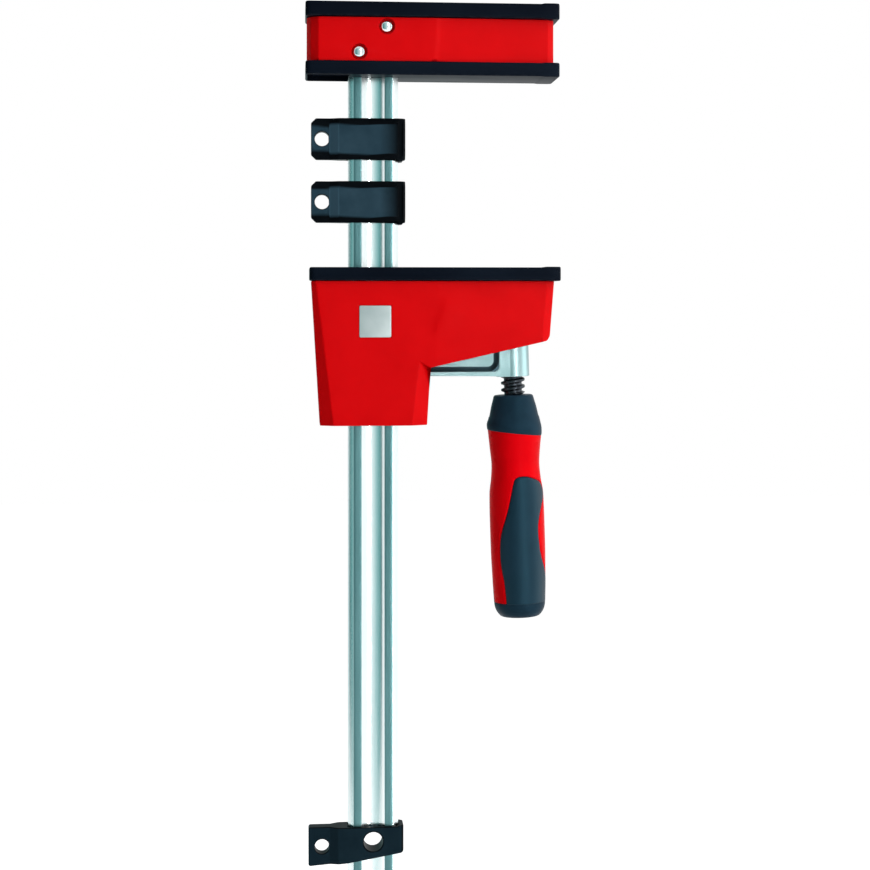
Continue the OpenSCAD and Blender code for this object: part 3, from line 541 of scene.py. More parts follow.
def bump(tree, shader, height, millimetres):
    """Gives a shader the normals of a height from 0 to 1 that stands for so many millimetres."""
    inputs = {"Height": height, "Strength": 1.0, "Distance": millimetres * MM}
    link_nodes(tree, add_node(tree, "ShaderNodeBump", inputs).outputs[0], shader.inputs["Normal"])


def cover(tree, shader, amount, colour):
    """Lays another colour over a shader's own by an amount from 0 to 1."""
    plain = shader.inputs["Base Color"].links[0].from_socket
    link_nodes(tree, tint(tree, amount, plain, colour), shader.inputs["Base Color"])


def make_finish(name, shades, roughness, metallic=0.0, specular=0.5, patches=60.0,
                stretch=UNSTRETCHED, grain=None, lines=None, wear=None, specular_tint=(1.0, 1.0, 1.0)):
    """A complete material: returns it with its tree and its shader for further touches."""
    material = bpy.data.materials.new(name)
    material.use_nodes = True
    tree = material.node_tree
    shader = tree.nodes["Principled BSDF"]
    patch = effect(tree, "patches", Scale=patches, Stretch=stretch)
    colour = tint(tree, patch, *shades)
    rough = spread(tree, patch, 0.0, 1.0, *roughness)
    if wear:
        worn = effect(tree, "edge_wear", Amount=wear["amount"], Scale=wear["scale"])
        colour = tint(tree, worn, colour, wear["shade"])
        rough = calculate(tree, "ADD", rough, calculate(tree, "MULTIPLY", worn, wear["rougher"]))
    link_nodes(tree, colour, shader.inputs["Base Color"])
    link_nodes(tree, rough, shader.inputs["Roughness"])
    shader.inputs["Metallic"].default_value = metallic
    shader.inputs["Specular IOR Level"].default_value = specular
    shader.inputs["Specular Tint"].default_value = (*specular_tint, 1)
    if grain:
        height = effect(tree, "moulded_grain", Scale=grain["scale"])
        bump(tree, shader, height, grain["mm"])
    elif lines:
        height = effect(tree, "drawn_lines", Scale=lines["scale"], Stretch=lines["stretch"])
        bump(tree, shader, height, lines["mm"])
    return material, tree, shader

# %% [markdown]
# The clamp needs red and dark plastics, zinc casting, iron, bright and dark steels, brass and
# soft rubber. Each is one row, with linear colours that were matched to the photograph under
# these lamps. The plastics have hardly any mirror glare in the photograph, so their specular
# levels are low, and the handle's dark parts get a teal sheen.

# %% Finishes
ALONG_RAIL = (1.0, 1.0, 0.02)
ALONG_JAW = (0.03, 1.0, 1.0)
TEAL_SHEEN = (0.28, 0.78, 1.0)
FINISHES = {
    "red_plastic": dict(
        shades=((0.64, 0.0004, 0.0020), (0.70, 0.0006, 0.0024)), roughness=(0.34, 0.42),
        specular=0.03, patches=45.0, grain=dict(scale=1900.0, mm=0.006),
        wear=dict(amount=0.3, scale=240.0, shade=(0.72, 0.02, 0.03), rougher=0.12)),
    "handle_red": dict(
        shades=((0.71, 0.0006, 0.0040), (0.77, 0.0008, 0.0046)), roughness=(0.26, 0.34),
        specular=0.03, specular_tint=(1.0, 0.3, 0.3), patches=60.0, grain=dict(scale=2400.0, mm=0.003),
        wear=dict(amount=0.25, scale=300.0, shade=(0.74, 0.02, 0.03), rougher=0.1)),
    "pad_plastic": dict(
        shades=((0.0022, 0.0040, 0.0085), (0.0042, 0.0080, 0.0150)), roughness=(0.32, 0.42),
        specular=0.02, patches=30.0, stretch=(0.4, 1.0, 1.0), grain=dict(scale=1500.0, mm=0.010),
        wear=dict(amount=0.2, scale=260.0, shade=(0.030, 0.038, 0.048), rougher=0.15)),
    "zinc_casting": dict(
        shades=((0.27, 0.41, 0.42), (0.35, 0.49, 0.50)), roughness=(0.28, 0.38), metallic=1.0,
        patches=90.0, grain=dict(scale=900.0, mm=0.020),
        wear=dict(amount=0.5, scale=300.0, shade=(0.62, 0.72, 0.73), rougher=-0.1)),
    "core_iron": dict(
        shades=((0.10, 0.105, 0.11), (0.17, 0.175, 0.18)), roughness=(0.5, 0.65), metallic=1.0,
        patches=110.0, grain=dict(scale=700.0, mm=0.05),
        wear=dict(amount=0.5, scale=300.0, shade=(0.32, 0.33, 0.34), rougher=-0.1)),
    "bright_steel": dict(
        shades=((0.60, 0.68, 0.69), (0.72, 0.79, 0.80)), roughness=(0.10, 0.18), metallic=1.0,
        patches=300.0, lines=dict(scale=1600.0, stretch=UNSTRETCHED, mm=0.004),
        wear=dict(amount=0.4, scale=500.0, shade=(0.9, 0.92, 0.92), rougher=0.1)),
    "spindle_steel": dict(
        shades=((0.020, 0.024, 0.030), (0.045, 0.052, 0.062)), roughness=(0.28, 0.40), metallic=0.9,
        patches=220.0, lines=dict(scale=1400.0, stretch=(0.15, 0.15, 1.0), mm=0.004),
        wear=dict(amount=0.8, scale=420.0, shade=(0.30, 0.33, 0.35), rougher=0.0)),
    "spring_steel": dict(
        shades=((0.10, 0.12, 0.16), (0.20, 0.22, 0.25)), roughness=(0.22, 0.34), metallic=1.0,
        patches=200.0, lines=dict(scale=1400.0, stretch=ALONG_JAW, mm=0.004),
        wear=dict(amount=0.6, scale=400.0, shade=(0.5, 0.5, 0.5), rougher=0.0)),
    "seat_brass": dict(
        shades=((0.52, 0.33, 0.10), (0.64, 0.44, 0.16)), roughness=(0.24, 0.36), metallic=1.0,
        patches=160.0, lines=dict(scale=1400.0, stretch=(0.1, 0.1, 1.0), mm=0.004),
        wear=dict(amount=0.6, scale=300.0, shade=(0.78, 0.62, 0.32), rougher=-0.05)),
    "guide_plastic": dict(
        shades=((0.012, 0.013, 0.014), (0.020, 0.021, 0.022)), roughness=(0.4, 0.5),
        patches=70.0, grain=dict(scale=1500.0, mm=0.012),
        wear=dict(amount=0.5, scale=300.0, shade=(0.06, 0.06, 0.06), rougher=0.1)),
    "plate_metal": dict(
        shades=((0.44, 0.50, 0.50), (0.50, 0.55, 0.55)), roughness=(0.30, 0.40), metallic=0.55,
        patches=120.0, lines=dict(scale=1500.0, stretch=ALONG_JAW, mm=0.003),
        wear=dict(amount=0.6, scale=300.0, shade=(0.95, 0.97, 0.97), rougher=0.1)),
    "handle_dark": dict(
        shades=((0.0070, 0.0195, 0.0330), (0.0100, 0.0280, 0.0460)), roughness=(0.40, 0.50),
        specular=0.08, specular_tint=TEAL_SHEEN, patches=90.0, grain=dict(scale=1700.0, mm=0.010),
        wear=dict(amount=0.5, scale=260.0, shade=(0.040, 0.055, 0.066), rougher=0.1)),
    "grip_rubber": dict(
        shades=((0.0030, 0.0095, 0.0190), (0.0045, 0.0130, 0.0250)), roughness=(0.42, 0.50),
        specular=0.36, specular_tint=TEAL_SHEEN, patches=80.0, grain=dict(scale=2200.0, mm=0.014),
        wear=dict(amount=0.4, scale=240.0, shade=(0.045, 0.065, 0.078), rougher=0.1)),
}
FINISH = {name: make_finish(name, **values)[0] for name, values in FINISHES.items()}
print("finishes", sorted(FINISH))

# %% [markdown]
# Two finishes change over one surface. The rail's groove and edge bevels are drawn bright while
# its flat faces keep the dull, greenish look of passivated zinc, so the rail mixes two shades
# and two roughnesses by how far a point lies from the middle of the groove. The clips' tabs and
# front panels are finely grained and paler between glossy black bevels, so their material looks
# at where a point is and at which way the surface faces. The slope from tab to panel faces left,
# away from the key lamp, and gets painted light: a paler shade in its colour.

# %% Rail and clip finishes
GROOVE_HALF = 6.8
FLAT_FROM, FLAT_TO = 6.9, 11.1
RIM_FADE, BEVEL_FADE = 0.5, 0.4
RAIL_DULL = dict(shades=((0.085, 0.19, 0.20), (0.13, 0.26, 0.27)), roughness=0.36)
RAIL_BRIGHT = dict(shades=((0.80, 0.90, 0.91), (0.88, 0.95, 0.95)), roughness=0.20)
RAIL_STREAK = dict(scale=500.0, noise=(0.3, 0.7), rougher=(-0.05, 0.05))
CLIP_GLOSS = dict(shades=((0.0014, 0.0024, 0.0034), (0.0026, 0.0042, 0.0060)), roughness=0.30)
CLIP_GRAINED = dict(shades=((0.018, 0.044, 0.064), (0.026, 0.058, 0.082)), roughness=0.60)
CLIP_PANEL_X = (4.0, 14.2)
# Painted light: the clip's left-facing slope is coloured this many times paler than the panel.
RISE_PAINTED_LIGHT = 1.6
END_CLIP_PANEL = ((0.0060, 0.0165, 0.0250), (0.0085, 0.0215, 0.0310))
END_CLIP_PANEL_X = (40, 41)
FACES_OUT, FACES_UP, LEFT_FACING_PAINTED_LIGHT = (0.70, 0.84), (0.22, 0.10), (-0.08, -0.20)


def make_rail_steel():
    """Dull on the flats between groove and bevel, bright elsewhere, with lines along the bar."""
    material, tree, shader = make_finish(
        "rail_steel", RAIL_DULL["shades"], (0.36, 0.46), metallic=1.0, patches=70.0,
        stretch=(1.0, 1.0, 0.12), lines=dict(scale=1500.0, stretch=ALONG_RAIL, mm=0.006))
    place = add_node(tree, "ShaderNodeSeparateXYZ", {0: object_place(tree)})
    from_middle = calculate(tree, "ABSOLUTE", place.outputs["X"])
    in_groove = spread(tree, from_middle, FLAT_FROM * MM, (FLAT_FROM - RIM_FADE) * MM)
    on_bevel = spread(tree, from_middle, FLAT_TO * MM, (FLAT_TO + BEVEL_FADE) * MM)
    bright = calculate(tree, "MAXIMUM", in_groove, on_bevel)
    patch = effect(tree, "patches", Scale=90.0, Stretch=(1.0, 1.0, 0.08))
    cover(tree, shader, bright, tint(tree, patch, *RAIL_BRIGHT["shades"]))
    rough = spread(tree, bright, 0.0, 1.0, RAIL_DULL["roughness"], RAIL_BRIGHT["roughness"])
    streak = effect(tree, "drawn_lines", Scale=RAIL_STREAK["scale"], Stretch=ALONG_RAIL)
    rougher = spread(tree, streak, *RAIL_STREAK["noise"], *RAIL_STREAK["rougher"])
    rough = calculate(tree, "ADD", rough, rougher)
    link_nodes(tree, rough, shader.inputs["Roughness"])
    return material


def make_clip_plastic(name, panel_shades, fade_x, rise_painted_light):
    """Grained and paler on the front of tab and panel, which faces out and never up or down, and
    glossy black on the bevels and the ends. The grained shade fades out from one x to the next,
    and the left-facing slope from tab to panel gets painted light: a paler shade by its own factor."""
    material, tree, shader = make_finish(
        name, CLIP_GLOSS["shades"], (0.26, 0.36), specular=0.015, patches=60.0,
        grain=dict(scale=1700.0, mm=0.012),
        wear=dict(amount=0.4, scale=260.0, shade=(0.02, 0.028, 0.034), rougher=0.1))
    place = add_node(tree, "ShaderNodeTexCoord")
    facing = add_node(tree, "ShaderNodeSeparateXYZ", {0: place.outputs["Normal"]})
    along = add_node(tree, "ShaderNodeSeparateXYZ", {0: place.outputs["Object"]}).outputs["X"]
    outward = spread(tree, calculate(tree, "ABSOLUTE", facing.outputs["Y"]), *FACES_OUT)
    level = spread(tree, calculate(tree, "ABSOLUTE", facing.outputs["Z"]), *FACES_UP)
    faded = spread(tree, along, fade_x[1] * MM, fade_x[0] * MM)
    grained = calculate(tree, "MULTIPLY", calculate(tree, "MULTIPLY", outward, level), faded)
    panel = tint(tree, effect(tree, "patches", Scale=80.0, Stretch=UNSTRETCHED), *panel_shades)
    # Painted light: where the surface faces left, away from the key lamp, the panel shade is made paler.
    slope = spread(tree, facing.outputs["X"], *LEFT_FACING_PAINTED_LIGHT)
    panel = tint(tree, slope, panel, [rise_painted_light * part for part in panel_shades[1]])
    cover(tree, shader, grained, panel)
    rough = spread(tree, grained, 0.0, 1.0, CLIP_GLOSS["roughness"], CLIP_GRAINED["roughness"])
    link_nodes(tree, rough, shader.inputs["Roughness"])
    return material


FINISH["rail_steel"] = make_rail_steel()
FINISH["clip_plastic"] = make_clip_plastic(
    "clip_plastic", CLIP_GRAINED["shades"], CLIP_PANEL_X, RISE_PAINTED_LIGHT)
FINISH["end_clip_plastic"] = make_clip_plastic(
    "end_clip_plastic", END_CLIP_PANEL, END_CLIP_PANEL_X, 1.0)
node_slots = {part["node"]: part["material_slot"] for part in frame["record"]["subparts"]}
for node_object in frame["nodes"].values():
    node_object.data.materials.clear()
    node_object.data.materials.append(FINISH[node_slots[node_object.name]])
print("every construction node wears its slot's finish")

# %% [markdown]
# The rail is drawn steel bar, so it is one cross-section carried along a straight path. The
# section has a hollow groove in each face. Where groove and face meet, the bar is rounded, and
# a smooth maximum gives that roundness without any special case. Small teeth along both edges
# give the slide arm its hold.

# %% Rail
RAIL_LOW, RAIL_HIGH = node_box("rail")
RAIL_BEVEL = (3.2, 1.6)
GROOVE_RADIUS = 11.61
RIM_SOFTNESS = 0.22
RAIL_CRISP = 30
TOOTH_PITCH, TOOTH_DEPTH = 1.5, 0.22
RAIL_END_CHAMFER = 0.7
RAIL_HOLE = dict(x=0, z=-441.4, diameter=13.4, reach=8)
DRILL_AROUND = 48
FACE_STATIONS = (0.0, 0.09, 0.18, 0.27, 0.36, 0.44, 0.50, 0.55, 0.585, 0.61, 0.635, 0.67, 0.74, 0.86, 1.0)


def drill(x, z, diameter, reach):
    """A round cutter from front to back through (x, 0, z), as long as twice its reach."""
    profile = [[diameter / 2, -reach], [diameter / 2, reach]]
    return new_piece("cutter", *closed_skin(revolved(profile, (x, 0, z), (0, 1, 0), DRILL_AROUND)))


def revolved(profile, origin, axis, around=96):
    """Revolves [radius r, height h] pairs about an axis: origin + h axis + r (cos a u + sin a v)."""
    profile = np.asarray(profile, float)
    axis = np.asarray(axis, float) / np.linalg.norm(axis)
    v = np.cross(axis, (1, 0, 0)) if abs(axis[0]) < 0.9 else np.cross(axis, (0, 1, 0))
    v /= np.linalg.norm(v)
    u = np.cross(v, axis)
    a = np.linspace(0, 2 * math.pi, around, endpoint=False)
    circle = np.cos(a)[:, None] * u + np.sin(a)[:, None] * v
    return np.asarray(origin) + profile[:, None, 1:] * axis + profile[:, None, :1] * circle


def crisp(piece, degrees=38):
    """Marks edges sharper than an angle, so that smooth shading stops at them."""
    piece.data.set_sharp_from_angle(angle=math.radians(degrees))
    return piece


def rail_outline():
    """Half thickness at x is t - (g + sqrt(g^2 + e^2)) / 2, where g is how far the groove's circle
    would cut into the face there, below zero outside the groove, and e rounds the rim."""
    half_w, half_t = RAIL_HIGH[0], RAIL_HIGH[1]
    flat = half_w - RAIL_BEVEL[0]
    x = np.array(FACE_STATIONS) * flat
    x = np.concatenate([-x[:0:-1], x])
    centre = math.sqrt(GROOVE_RADIUS**2 - GROOVE_HALF**2)
    cut_in = np.sqrt(GROOVE_RADIUS**2 - np.minimum(x**2, GROOVE_RADIUS**2 - 1)) - centre
    depth = (cut_in + np.sqrt(cut_in**2 + RIM_SOFTNESS**2)) / 2
    depth = np.where(np.isclose(np.abs(x), flat), 0, depth)
    edge = np.array([[half_w, -half_t + RAIL_BEVEL[1]], [half_w, 0], [half_w, half_t - RAIL_BEVEL[1]]])
    front = np.column_stack([x, -half_t + depth])
    return np.concatenate([front, edge, -front, -edge])


def toothed(z):
    """A triangle wave of height: 0 on a tooth's crest and 1 at its root."""
    return 2 * np.abs(z / TOOTH_PITCH - np.round(z / TOOTH_PITCH))


def make_rail():
    """The outline carried along z, its edges cut inward by the teeth, its ends chamfered."""
    outline = rail_outline()
    low, high = RAIL_LOW[2] + RAIL_END_CHAMFER, RAIL_HIGH[2] - RAIL_END_CHAMFER
    z = np.round(np.arange(low, high, TOOTH_PITCH / 2) / (TOOTH_PITCH / 2)) * TOOTH_PITCH / 2
    z = z[(z > low) & (z < high)]
    flat = RAIL_HIGH[0] - RAIL_BEVEL[0]
    share = np.clip((np.abs(outline[:, 0]) - flat) / RAIL_BEVEL[0], 0, 1)
    inward_x = -np.sign(outline[:, 0]) * share * TOOTH_DEPTH
    rings = np.zeros((len(z), len(outline), 3))
    rings[:, :, :2] = outline
    rings[:, :, 0] += toothed(z)[:, None] * inward_x
    rings[:, :, 2] = z[:, None]
    chamfers = ((RAIL_END_CHAMFER, RAIL_LOW[2]), (0, low), (0, high), (RAIL_END_CHAMFER, RAIL_HIGH[2]))
    ends = [np.column_stack([inward(outline, d), np.full(len(outline), height)]) for d, height in chamfers]
    rings = np.concatenate([ends[:2], rings, ends[2:]])
    return new_piece("rail_bar", *closed_skin(rings), recalculate=False)


rail_bar = crisp(carve(make_rail(), drill(**RAIL_HOLE)), RAIL_CRISP)
dress(rail_bar, FINISH["rail_steel"], "rail_and_head", "rail_steel", "rail")

# %% [markdown]
# The jaw pads are moulded plates with rounded edges. Each is a section carried along the jaw:
# at every station the half width and the two heights follow their own curves, which round the
# corners seen from above and raise a low lip at the tip. The rail's way through a clamping pad
# is cut out afterwards.

# %% Jaw pads
PAD_CORNER = 3.0
PAD_EDGE = 0.9
LIP_HEIGHT = 0.4
LIP_LENGTH = 8.5
LIP_RAMP = 2.4
RAIL_WAY = (29.6, 9.6)
HOLLOW_WALL, HOLLOW_DEPTH = 1.1, 3.4
PAD_LIPS = {"head_spreading_pad": (1, 1), "head_clamping_pad": (0.6, 0.6), "jaw_pad": (1, 0.5)}
END_STATIONS = np.array([0, 0.03, 0.12, 0.3, 0.6, 1.0, 1.6, 2.2, 3.0])
LIP_STATIONS = 7
CLOSE_STATIONS, CLOSE_FROM, CLOSE_LENGTH = 44, 4, 20
FAR_STATIONS, FAR_END = 12, 12
PAD_EDGE_STEPS = 6
CUT_PAST = 1
PIECE_CRISP = 50


def smooth_step(t):
    """3t^2 - 2t^3 between 0 and 1."""
    t = np.clip(t, 0, 1)
    return t * t * (3 - 2 * t)


def block_cutter(x, y, z):
    """A box cutter from its ranges along x, y and z."""
    outline = np.array([[x[0], y[0]], [x[1], y[0]], [x[1], y[1]], [x[0], y[1]]], float)
    rings = np.stack([np.column_stack([outline, np.full(4, height)]) for height in z])
    return new_piece("cutter", *closed_skin(rings))


def section_ring(half_y, z_low, z_high, edge):
    """A rectangle in the (y, z) plane with its four corners rounded."""
    corners = np.array([[-half_y, z_low], [half_y, z_low], [half_y, z_high], [-half_y, z_high]])
    return soften(corners, edge, PAD_EDGE_STEPS)


def make_pad(node):
    """Sections along x. Near an end, at distance d, the half width loses r - sqrt(r^2 - (r - d)^2)
    and each height e - sqrt(e^2 - (e - d)^2); the lip adds a smooth step at the tip."""
    low, high = node_box(node)
    lip_top, lip_low = (share * LIP_HEIGHT for share in PAD_LIPS[node])
    t = np.linspace(0, math.pi, CLOSE_STATIONS)
    close_x = low[0] + CLOSE_FROM + (1 - np.cos(t)) / 2 * CLOSE_LENGTH
    far_x = np.linspace(low[0] + (CLOSE_FROM + CLOSE_LENGTH), high[0] - FAR_END, FAR_STATIONS)
    lip_x = high[0] - LIP_LENGTH + np.linspace(-LIP_RAMP, 0, LIP_STATIONS)
    x = np.sort(np.concatenate([low[0] + END_STATIONS, high[0] - END_STATIONS, lip_x, close_x, far_x]))
    d = np.minimum(x - low[0], high[0] - x)
    corner = np.clip(PAD_CORNER - d, 0, PAD_CORNER)
    half_y = high[1] - (PAD_CORNER - np.sqrt(PAD_CORNER**2 - corner**2))
    rounding = np.clip(PAD_EDGE - d, 0, PAD_EDGE)
    drop = PAD_EDGE - np.sqrt(PAD_EDGE**2 - rounding**2)
    lip = smooth_step((x - high[0] + LIP_LENGTH + LIP_RAMP) / LIP_RAMP)
    z_high = high[2] - drop - (1 - lip) * lip_top
    z_low = low[2] + drop + (1 - lip) * lip_low
    rings = np.stack([
        np.insert(section_ring(w, lower, upper, PAD_EDGE), 0, place, axis=1)
        for place, w, lower, upper in zip(x, half_y, z_low, z_high)
    ])
    piece = new_piece(node + "_plate", *closed_skin(rings))
    half_x, half_way = RAIL_WAY[0] / 2, RAIL_WAY[1] / 2
    under, over = low[2] - CUT_PAST, high[2] + CUT_PAST
    if node != "head_spreading_pad":
        carve(piece, block_cutter((-half_x, half_x), (-half_way, half_way), (under, over)))
    if node == "head_clamping_pad":
        hollow_x = (low[0] + HOLLOW_WALL, -half_x + HOLLOW_WALL)
        hollow_y = (-high[1] + HOLLOW_WALL, high[1] - HOLLOW_WALL)
        carve(piece, block_cutter(hollow_x, hollow_y, (under, low[2] + HOLLOW_DEPTH)))
    return crisp(piece, PIECE_CRISP)


for pad_node in PAD_LIPS:
    pad_body = "sliding_jaw" if pad_node == "jaw_pad" else "rail_and_head"
    dress(make_pad(pad_node), FINISH["pad_plastic"], pad_body, "pad_plastic", pad_node)

# %% [markdown]
# The red shells, the clips and the slide arm are mouldings and castings with many walls, pockets
# and holes, and the construction model already has each of those surfaces. A formula would only
# repeat it. So each takes a copy of its node, joins the loose triangles to one skin, drops the
# edges inside flat faces, and rounds every real edge by a radius that suits its material.

# %% Rounded copies of nodes
MANY_CORNERS = 20
NODE_WELD_METRES = 2e-6
FLAT_ANGLE, EDGE_ANGLE, MOULDED_CRISP = 1.2, 24, 45
EDGE_ROUND, CORNER_ROUND, CLIP_CORNER_ROUND = 0.5, 0.4, 0.5
EDGE_SEGMENTS = 3


def moulded_from(node, name, inner=CORNER_ROUND, zones=(), split=False):
    """A copy of a construction node as one clean skin. Its outer edges are rounded by one width,
    its inner corners by another, and edges that lie in a zone by that zone's own. Split cuts
    faces with many corners, such as one round a hole, into triangles first."""
    mesh = frame["nodes"][node].data.copy()
    mesh.name = name
    bm = bmesh.new()
    bm.from_mesh(mesh)
    weight = bm.edges.layers.float.new("bevel_weight_edge")
    bmesh.ops.remove_doubles(bm, verts=bm.verts, dist=NODE_WELD_METRES)
    bmesh.ops.dissolve_limit(bm, angle_limit=math.radians(FLAT_ANGLE), verts=bm.verts, edges=bm.edges)
    if split:
        bmesh.ops.triangulate(bm, faces=[f for f in bm.faces if len(f.verts) > MANY_CORNERS])
    edges = [e for e in bm.edges if e.is_manifold and e.calc_face_angle() > math.radians(EDGE_ANGLE)]
    ends = np.array([[tuple(v.co) for v in e.verts] for e in edges]) / MM
    width = np.where([e.is_convex for e in edges], EDGE_ROUND, inner)
    for low, high, zone_width in zones:
        inside = ((ends > low) & (ends < high)).all(axis=(1, 2))
        width = np.where(inside, zone_width, width)
    for edge, share in zip(edges, width / width.max()):
        edge[weight] = share
    bm.to_mesh(mesh)
    bm.free()
    mesh.shade_smooth()
    piece = place_object(name, mesh)
    rounding = piece.modifiers.new("rounded_edges", "BEVEL")
    rounding.width = width.max() * MM
    rounding.segments = EDGE_SEGMENTS
    rounding.limit_method = "WEIGHT"
    rounding.use_clamp_overlap = False
    keep_modified(piece)
    return crisp(piece, MOULDED_CRISP)

# %% [markdown]
# Two details are cut into the copies once their edges are rounded: a clean round pocket about
# each rivet's head, with a flared rim, and a shallow slot beside the hooked end of a rail pad.

# %% Pockets and slots
RIVET_AT = ((7.3, 28.2), (-8.5, 13.4))
RIVET_POCKET = dict(diameter=8.9, floor=2.7, flare_depth=0.4, flare=0.5, past=0.1)
RIVET_AROUND = 64
HOOK_SLOT = dict(x=(14.3, 17.2), depth=0.9)


def rivet_pockets(side):
    """Cutters for the round pockets that the rivets' heads stand in, on one side of the head."""
    face = side * node_box("head_shell_back")[1][1]
    radius, floor = RIVET_POCKET["diameter"] / 2, face - side * RIVET_POCKET["floor"]
    rim = (radius + RIVET_POCKET["flare"], face + side * RIVET_POCKET["past"])
    profile = [(radius, floor), (radius, face - side * RIVET_POCKET["flare_depth"]), rim]
    return [new_piece("cutter", *closed_skin(revolved(profile, (x, 0, z), (0, 1, 0), RIVET_AROUND)))
            for x, z in RIVET_AT]


def hook_slots(node):
    """Cutters for the shallow slot beside a rail pad's hooked end, front and back."""
    low, high = node_box(node)
    heights = (low[2] - CUT_PAST, high[2] + CUT_PAST)
    near, far = high[1] - HOOK_SLOT["depth"], high[1] + CUT_PAST
    return [block_cutter(HOOK_SLOT["x"], reach, heights) for reach in ((-far, -near), (near, far))]

# %% [markdown]
# The red fronts aren't quite flat. A slanting crease crosses the head's side, and the jaw swells
# a little over the spindle's seat. A lattice of cuts gives the flat face points, and a formula
# of x and z moves them out or in.

# %% Crease and swell
RELIEF_FACING, RELIEF_CUT_Y, RELIEF_MOVE_Y = 0.97, 14, 15
RELIEF_SNAP_METRES = 1e-6
CREASE = dict(x=36.0, z=14.7, lean=0.087, width=3.4, step=0.35)
SWELL = dict(x=33.7, z=-146.6, lean=0.389, steep=3.2, gentle_from=3, gentle=15,
             low=-151, high=-126.5, fade=5, height=0.45)
CREASE_LINES = (np.linspace(33, 40, 11), (10, 16, 22, 28, 33))
SWELL_LINES = (np.linspace(29, 62, 24), np.linspace(-152, -126, 12))


def relief(piece, side, x_lines, z_lines, rise):
    """Cuts a lattice into the face on one side, then moves its points out by rise(x, z)."""
    bm = bmesh.new()
    bm.from_mesh(piece.data)
    for axis, lines in ((0, x_lines), (2, z_lines)):
        for line in lines:
            faces = [f for f in bm.faces if f.normal.y * side > RELIEF_FACING
                     and abs(f.calc_center_median().y) > RELIEF_CUT_Y * MM]
            edges = dict.fromkeys(e for f in faces for e in f.edges)
            corners = dict.fromkeys(v for f in faces for v in f.verts)
            at, normal = Vector(), Vector()
            at[axis], normal[axis] = line * MM, 1
            bmesh.ops.bisect_plane(bm, geom=[*faces, *edges, *corners], plane_co=at, plane_no=normal,
                                   dist=RELIEF_SNAP_METRES)
    bm.to_mesh(piece.data)
    bm.free()
    place = np.empty(len(piece.data.vertices) * 3, np.float32)
    piece.data.vertices.foreach_get("co", place)
    place = place.reshape(-1, 3)
    face = side * place[:, 1] > RELIEF_MOVE_Y * MM
    place[face, 1] += side * MM * rise(place[face, 0] / MM, place[face, 2] / MM)
    piece.data.vertices.foreach_set("co", place.ravel())
    piece.data.update()
    return piece


def head_crease(x, z):
    """At a distance p past a slanting crease the head steps back: -s S((p + w / 2) / w), with S the
    smooth step, w the crease's width and s a third of a millimetre."""
    past = x - CREASE["x"] - (z - CREASE["z"]) * CREASE["lean"]
    return -CREASE["step"] * smooth_step((past + CREASE["width"] / 2) / CREASE["width"])


def jaw_swell(x, z):
    """The jaw swells over the spindle's seat. Four smooth steps are multiplied: a steep one on a
    slanting left side, a gentle one to the right, and one each to fade it out above and below."""
    past = x - SWELL["x"] - (z - SWELL["z"]) * SWELL["lean"]
    across = smooth_step((past + SWELL["steep"] / 2) / SWELL["steep"])
    across *= 1 - smooth_step((past - SWELL["gentle_from"]) / SWELL["gentle"])
    above_low, below_high = z - SWELL["low"], SWELL["high"] - z
    along = smooth_step(above_low / SWELL["fade"]) * smooth_step(below_high / SWELL["fade"])
    return SWELL["height"] * across * along

# %% [markdown]
# Now every moulding and casting is made from its row: the body it rides on, its slot, and how
# its edges are rounded. A zone is a box in which edges get a radius of their own: the rim of a
# rivet's pocket, the head's top edge and the jaw's tip.

# %% Mouldings and castings
WHOLE = 1e4
TIP_CORNER = ((99, -WHOLE, -155), (107, WHOLE, -144), 0.9)
HEAD_TOP = node_box("head_shell_front")[1][2]
RIVET_ZONE, RIVET_ZONE_ROUND = 5.5, 0.1
TOP_ZONE, TOP_ROUND = 0.2, 0.25
HEAD_EDGES = [((x - RIVET_ZONE, -WHOLE, z - RIVET_ZONE), (x + RIVET_ZONE, WHOLE, z + RIVET_ZONE),
               RIVET_ZONE_ROUND) for x, z in RIVET_AT]
HEAD_EDGES.append(((-WHOLE, -WHOLE, HEAD_TOP - TOP_ZONE), (WHOLE, WHOLE, HEAD_TOP + TOP_ZONE), TOP_ROUND))
SHELLS = {"head_shell": ("rail_and_head", HEAD_EDGES), "jaw_shell": ("sliding_jaw", [TIP_CORNER])}
MOULDINGS = {
    f"{shell}_{face}": dict(body=shell_body, slot="red_plastic", shape=dict(zones=zones))
    for shell, (shell_body, zones) in SHELLS.items() for face in ("front", "back")}
MOULDINGS.update(
    rail_pad_upper=dict(body="rail_pad_upper", slot="clip_plastic", shape=dict(inner=CLIP_CORNER_ROUND)),
    rail_pad_lower=dict(body="rail_pad_lower", slot="clip_plastic", shape=dict(inner=CLIP_CORNER_ROUND)),
    rail_end_clip=dict(body="rail_and_head", slot="clip_plastic",
                       shape=dict(inner=CLIP_CORNER_ROUND, split=True)),
    slide_arm=dict(body="slide_arm", slot="zinc_casting", shape={}))
RELIEFS = {"head_shell": (*CREASE_LINES, head_crease), "jaw_shell": (*SWELL_LINES, jaw_swell)}
for moulded_node, values in MOULDINGS.items():
    moulding = moulded_from(moulded_node, moulded_node + "_moulding", **values["shape"])
    family, _, last_word = moulded_node.rpartition("_")
    face_side = -1 if last_word == "front" else 1
    if family == "head_shell":
        crisp(carve(moulding, *rivet_pockets(face_side)), MOULDED_CRISP)
    if family == "rail_pad":
        crisp(carve(moulding, *hook_slots(moulded_node)), MOULDED_CRISP)
    if family in RELIEFS:
        relief(moulding, face_side, *RELIEFS[family])
    even_shading(moulding)
    moulded_finish = FINISH["end_clip_plastic" if moulded_node == "rail_end_clip" else values["slot"]]
    dress(moulding, moulded_finish, values["body"], values["slot"], moulded_node)
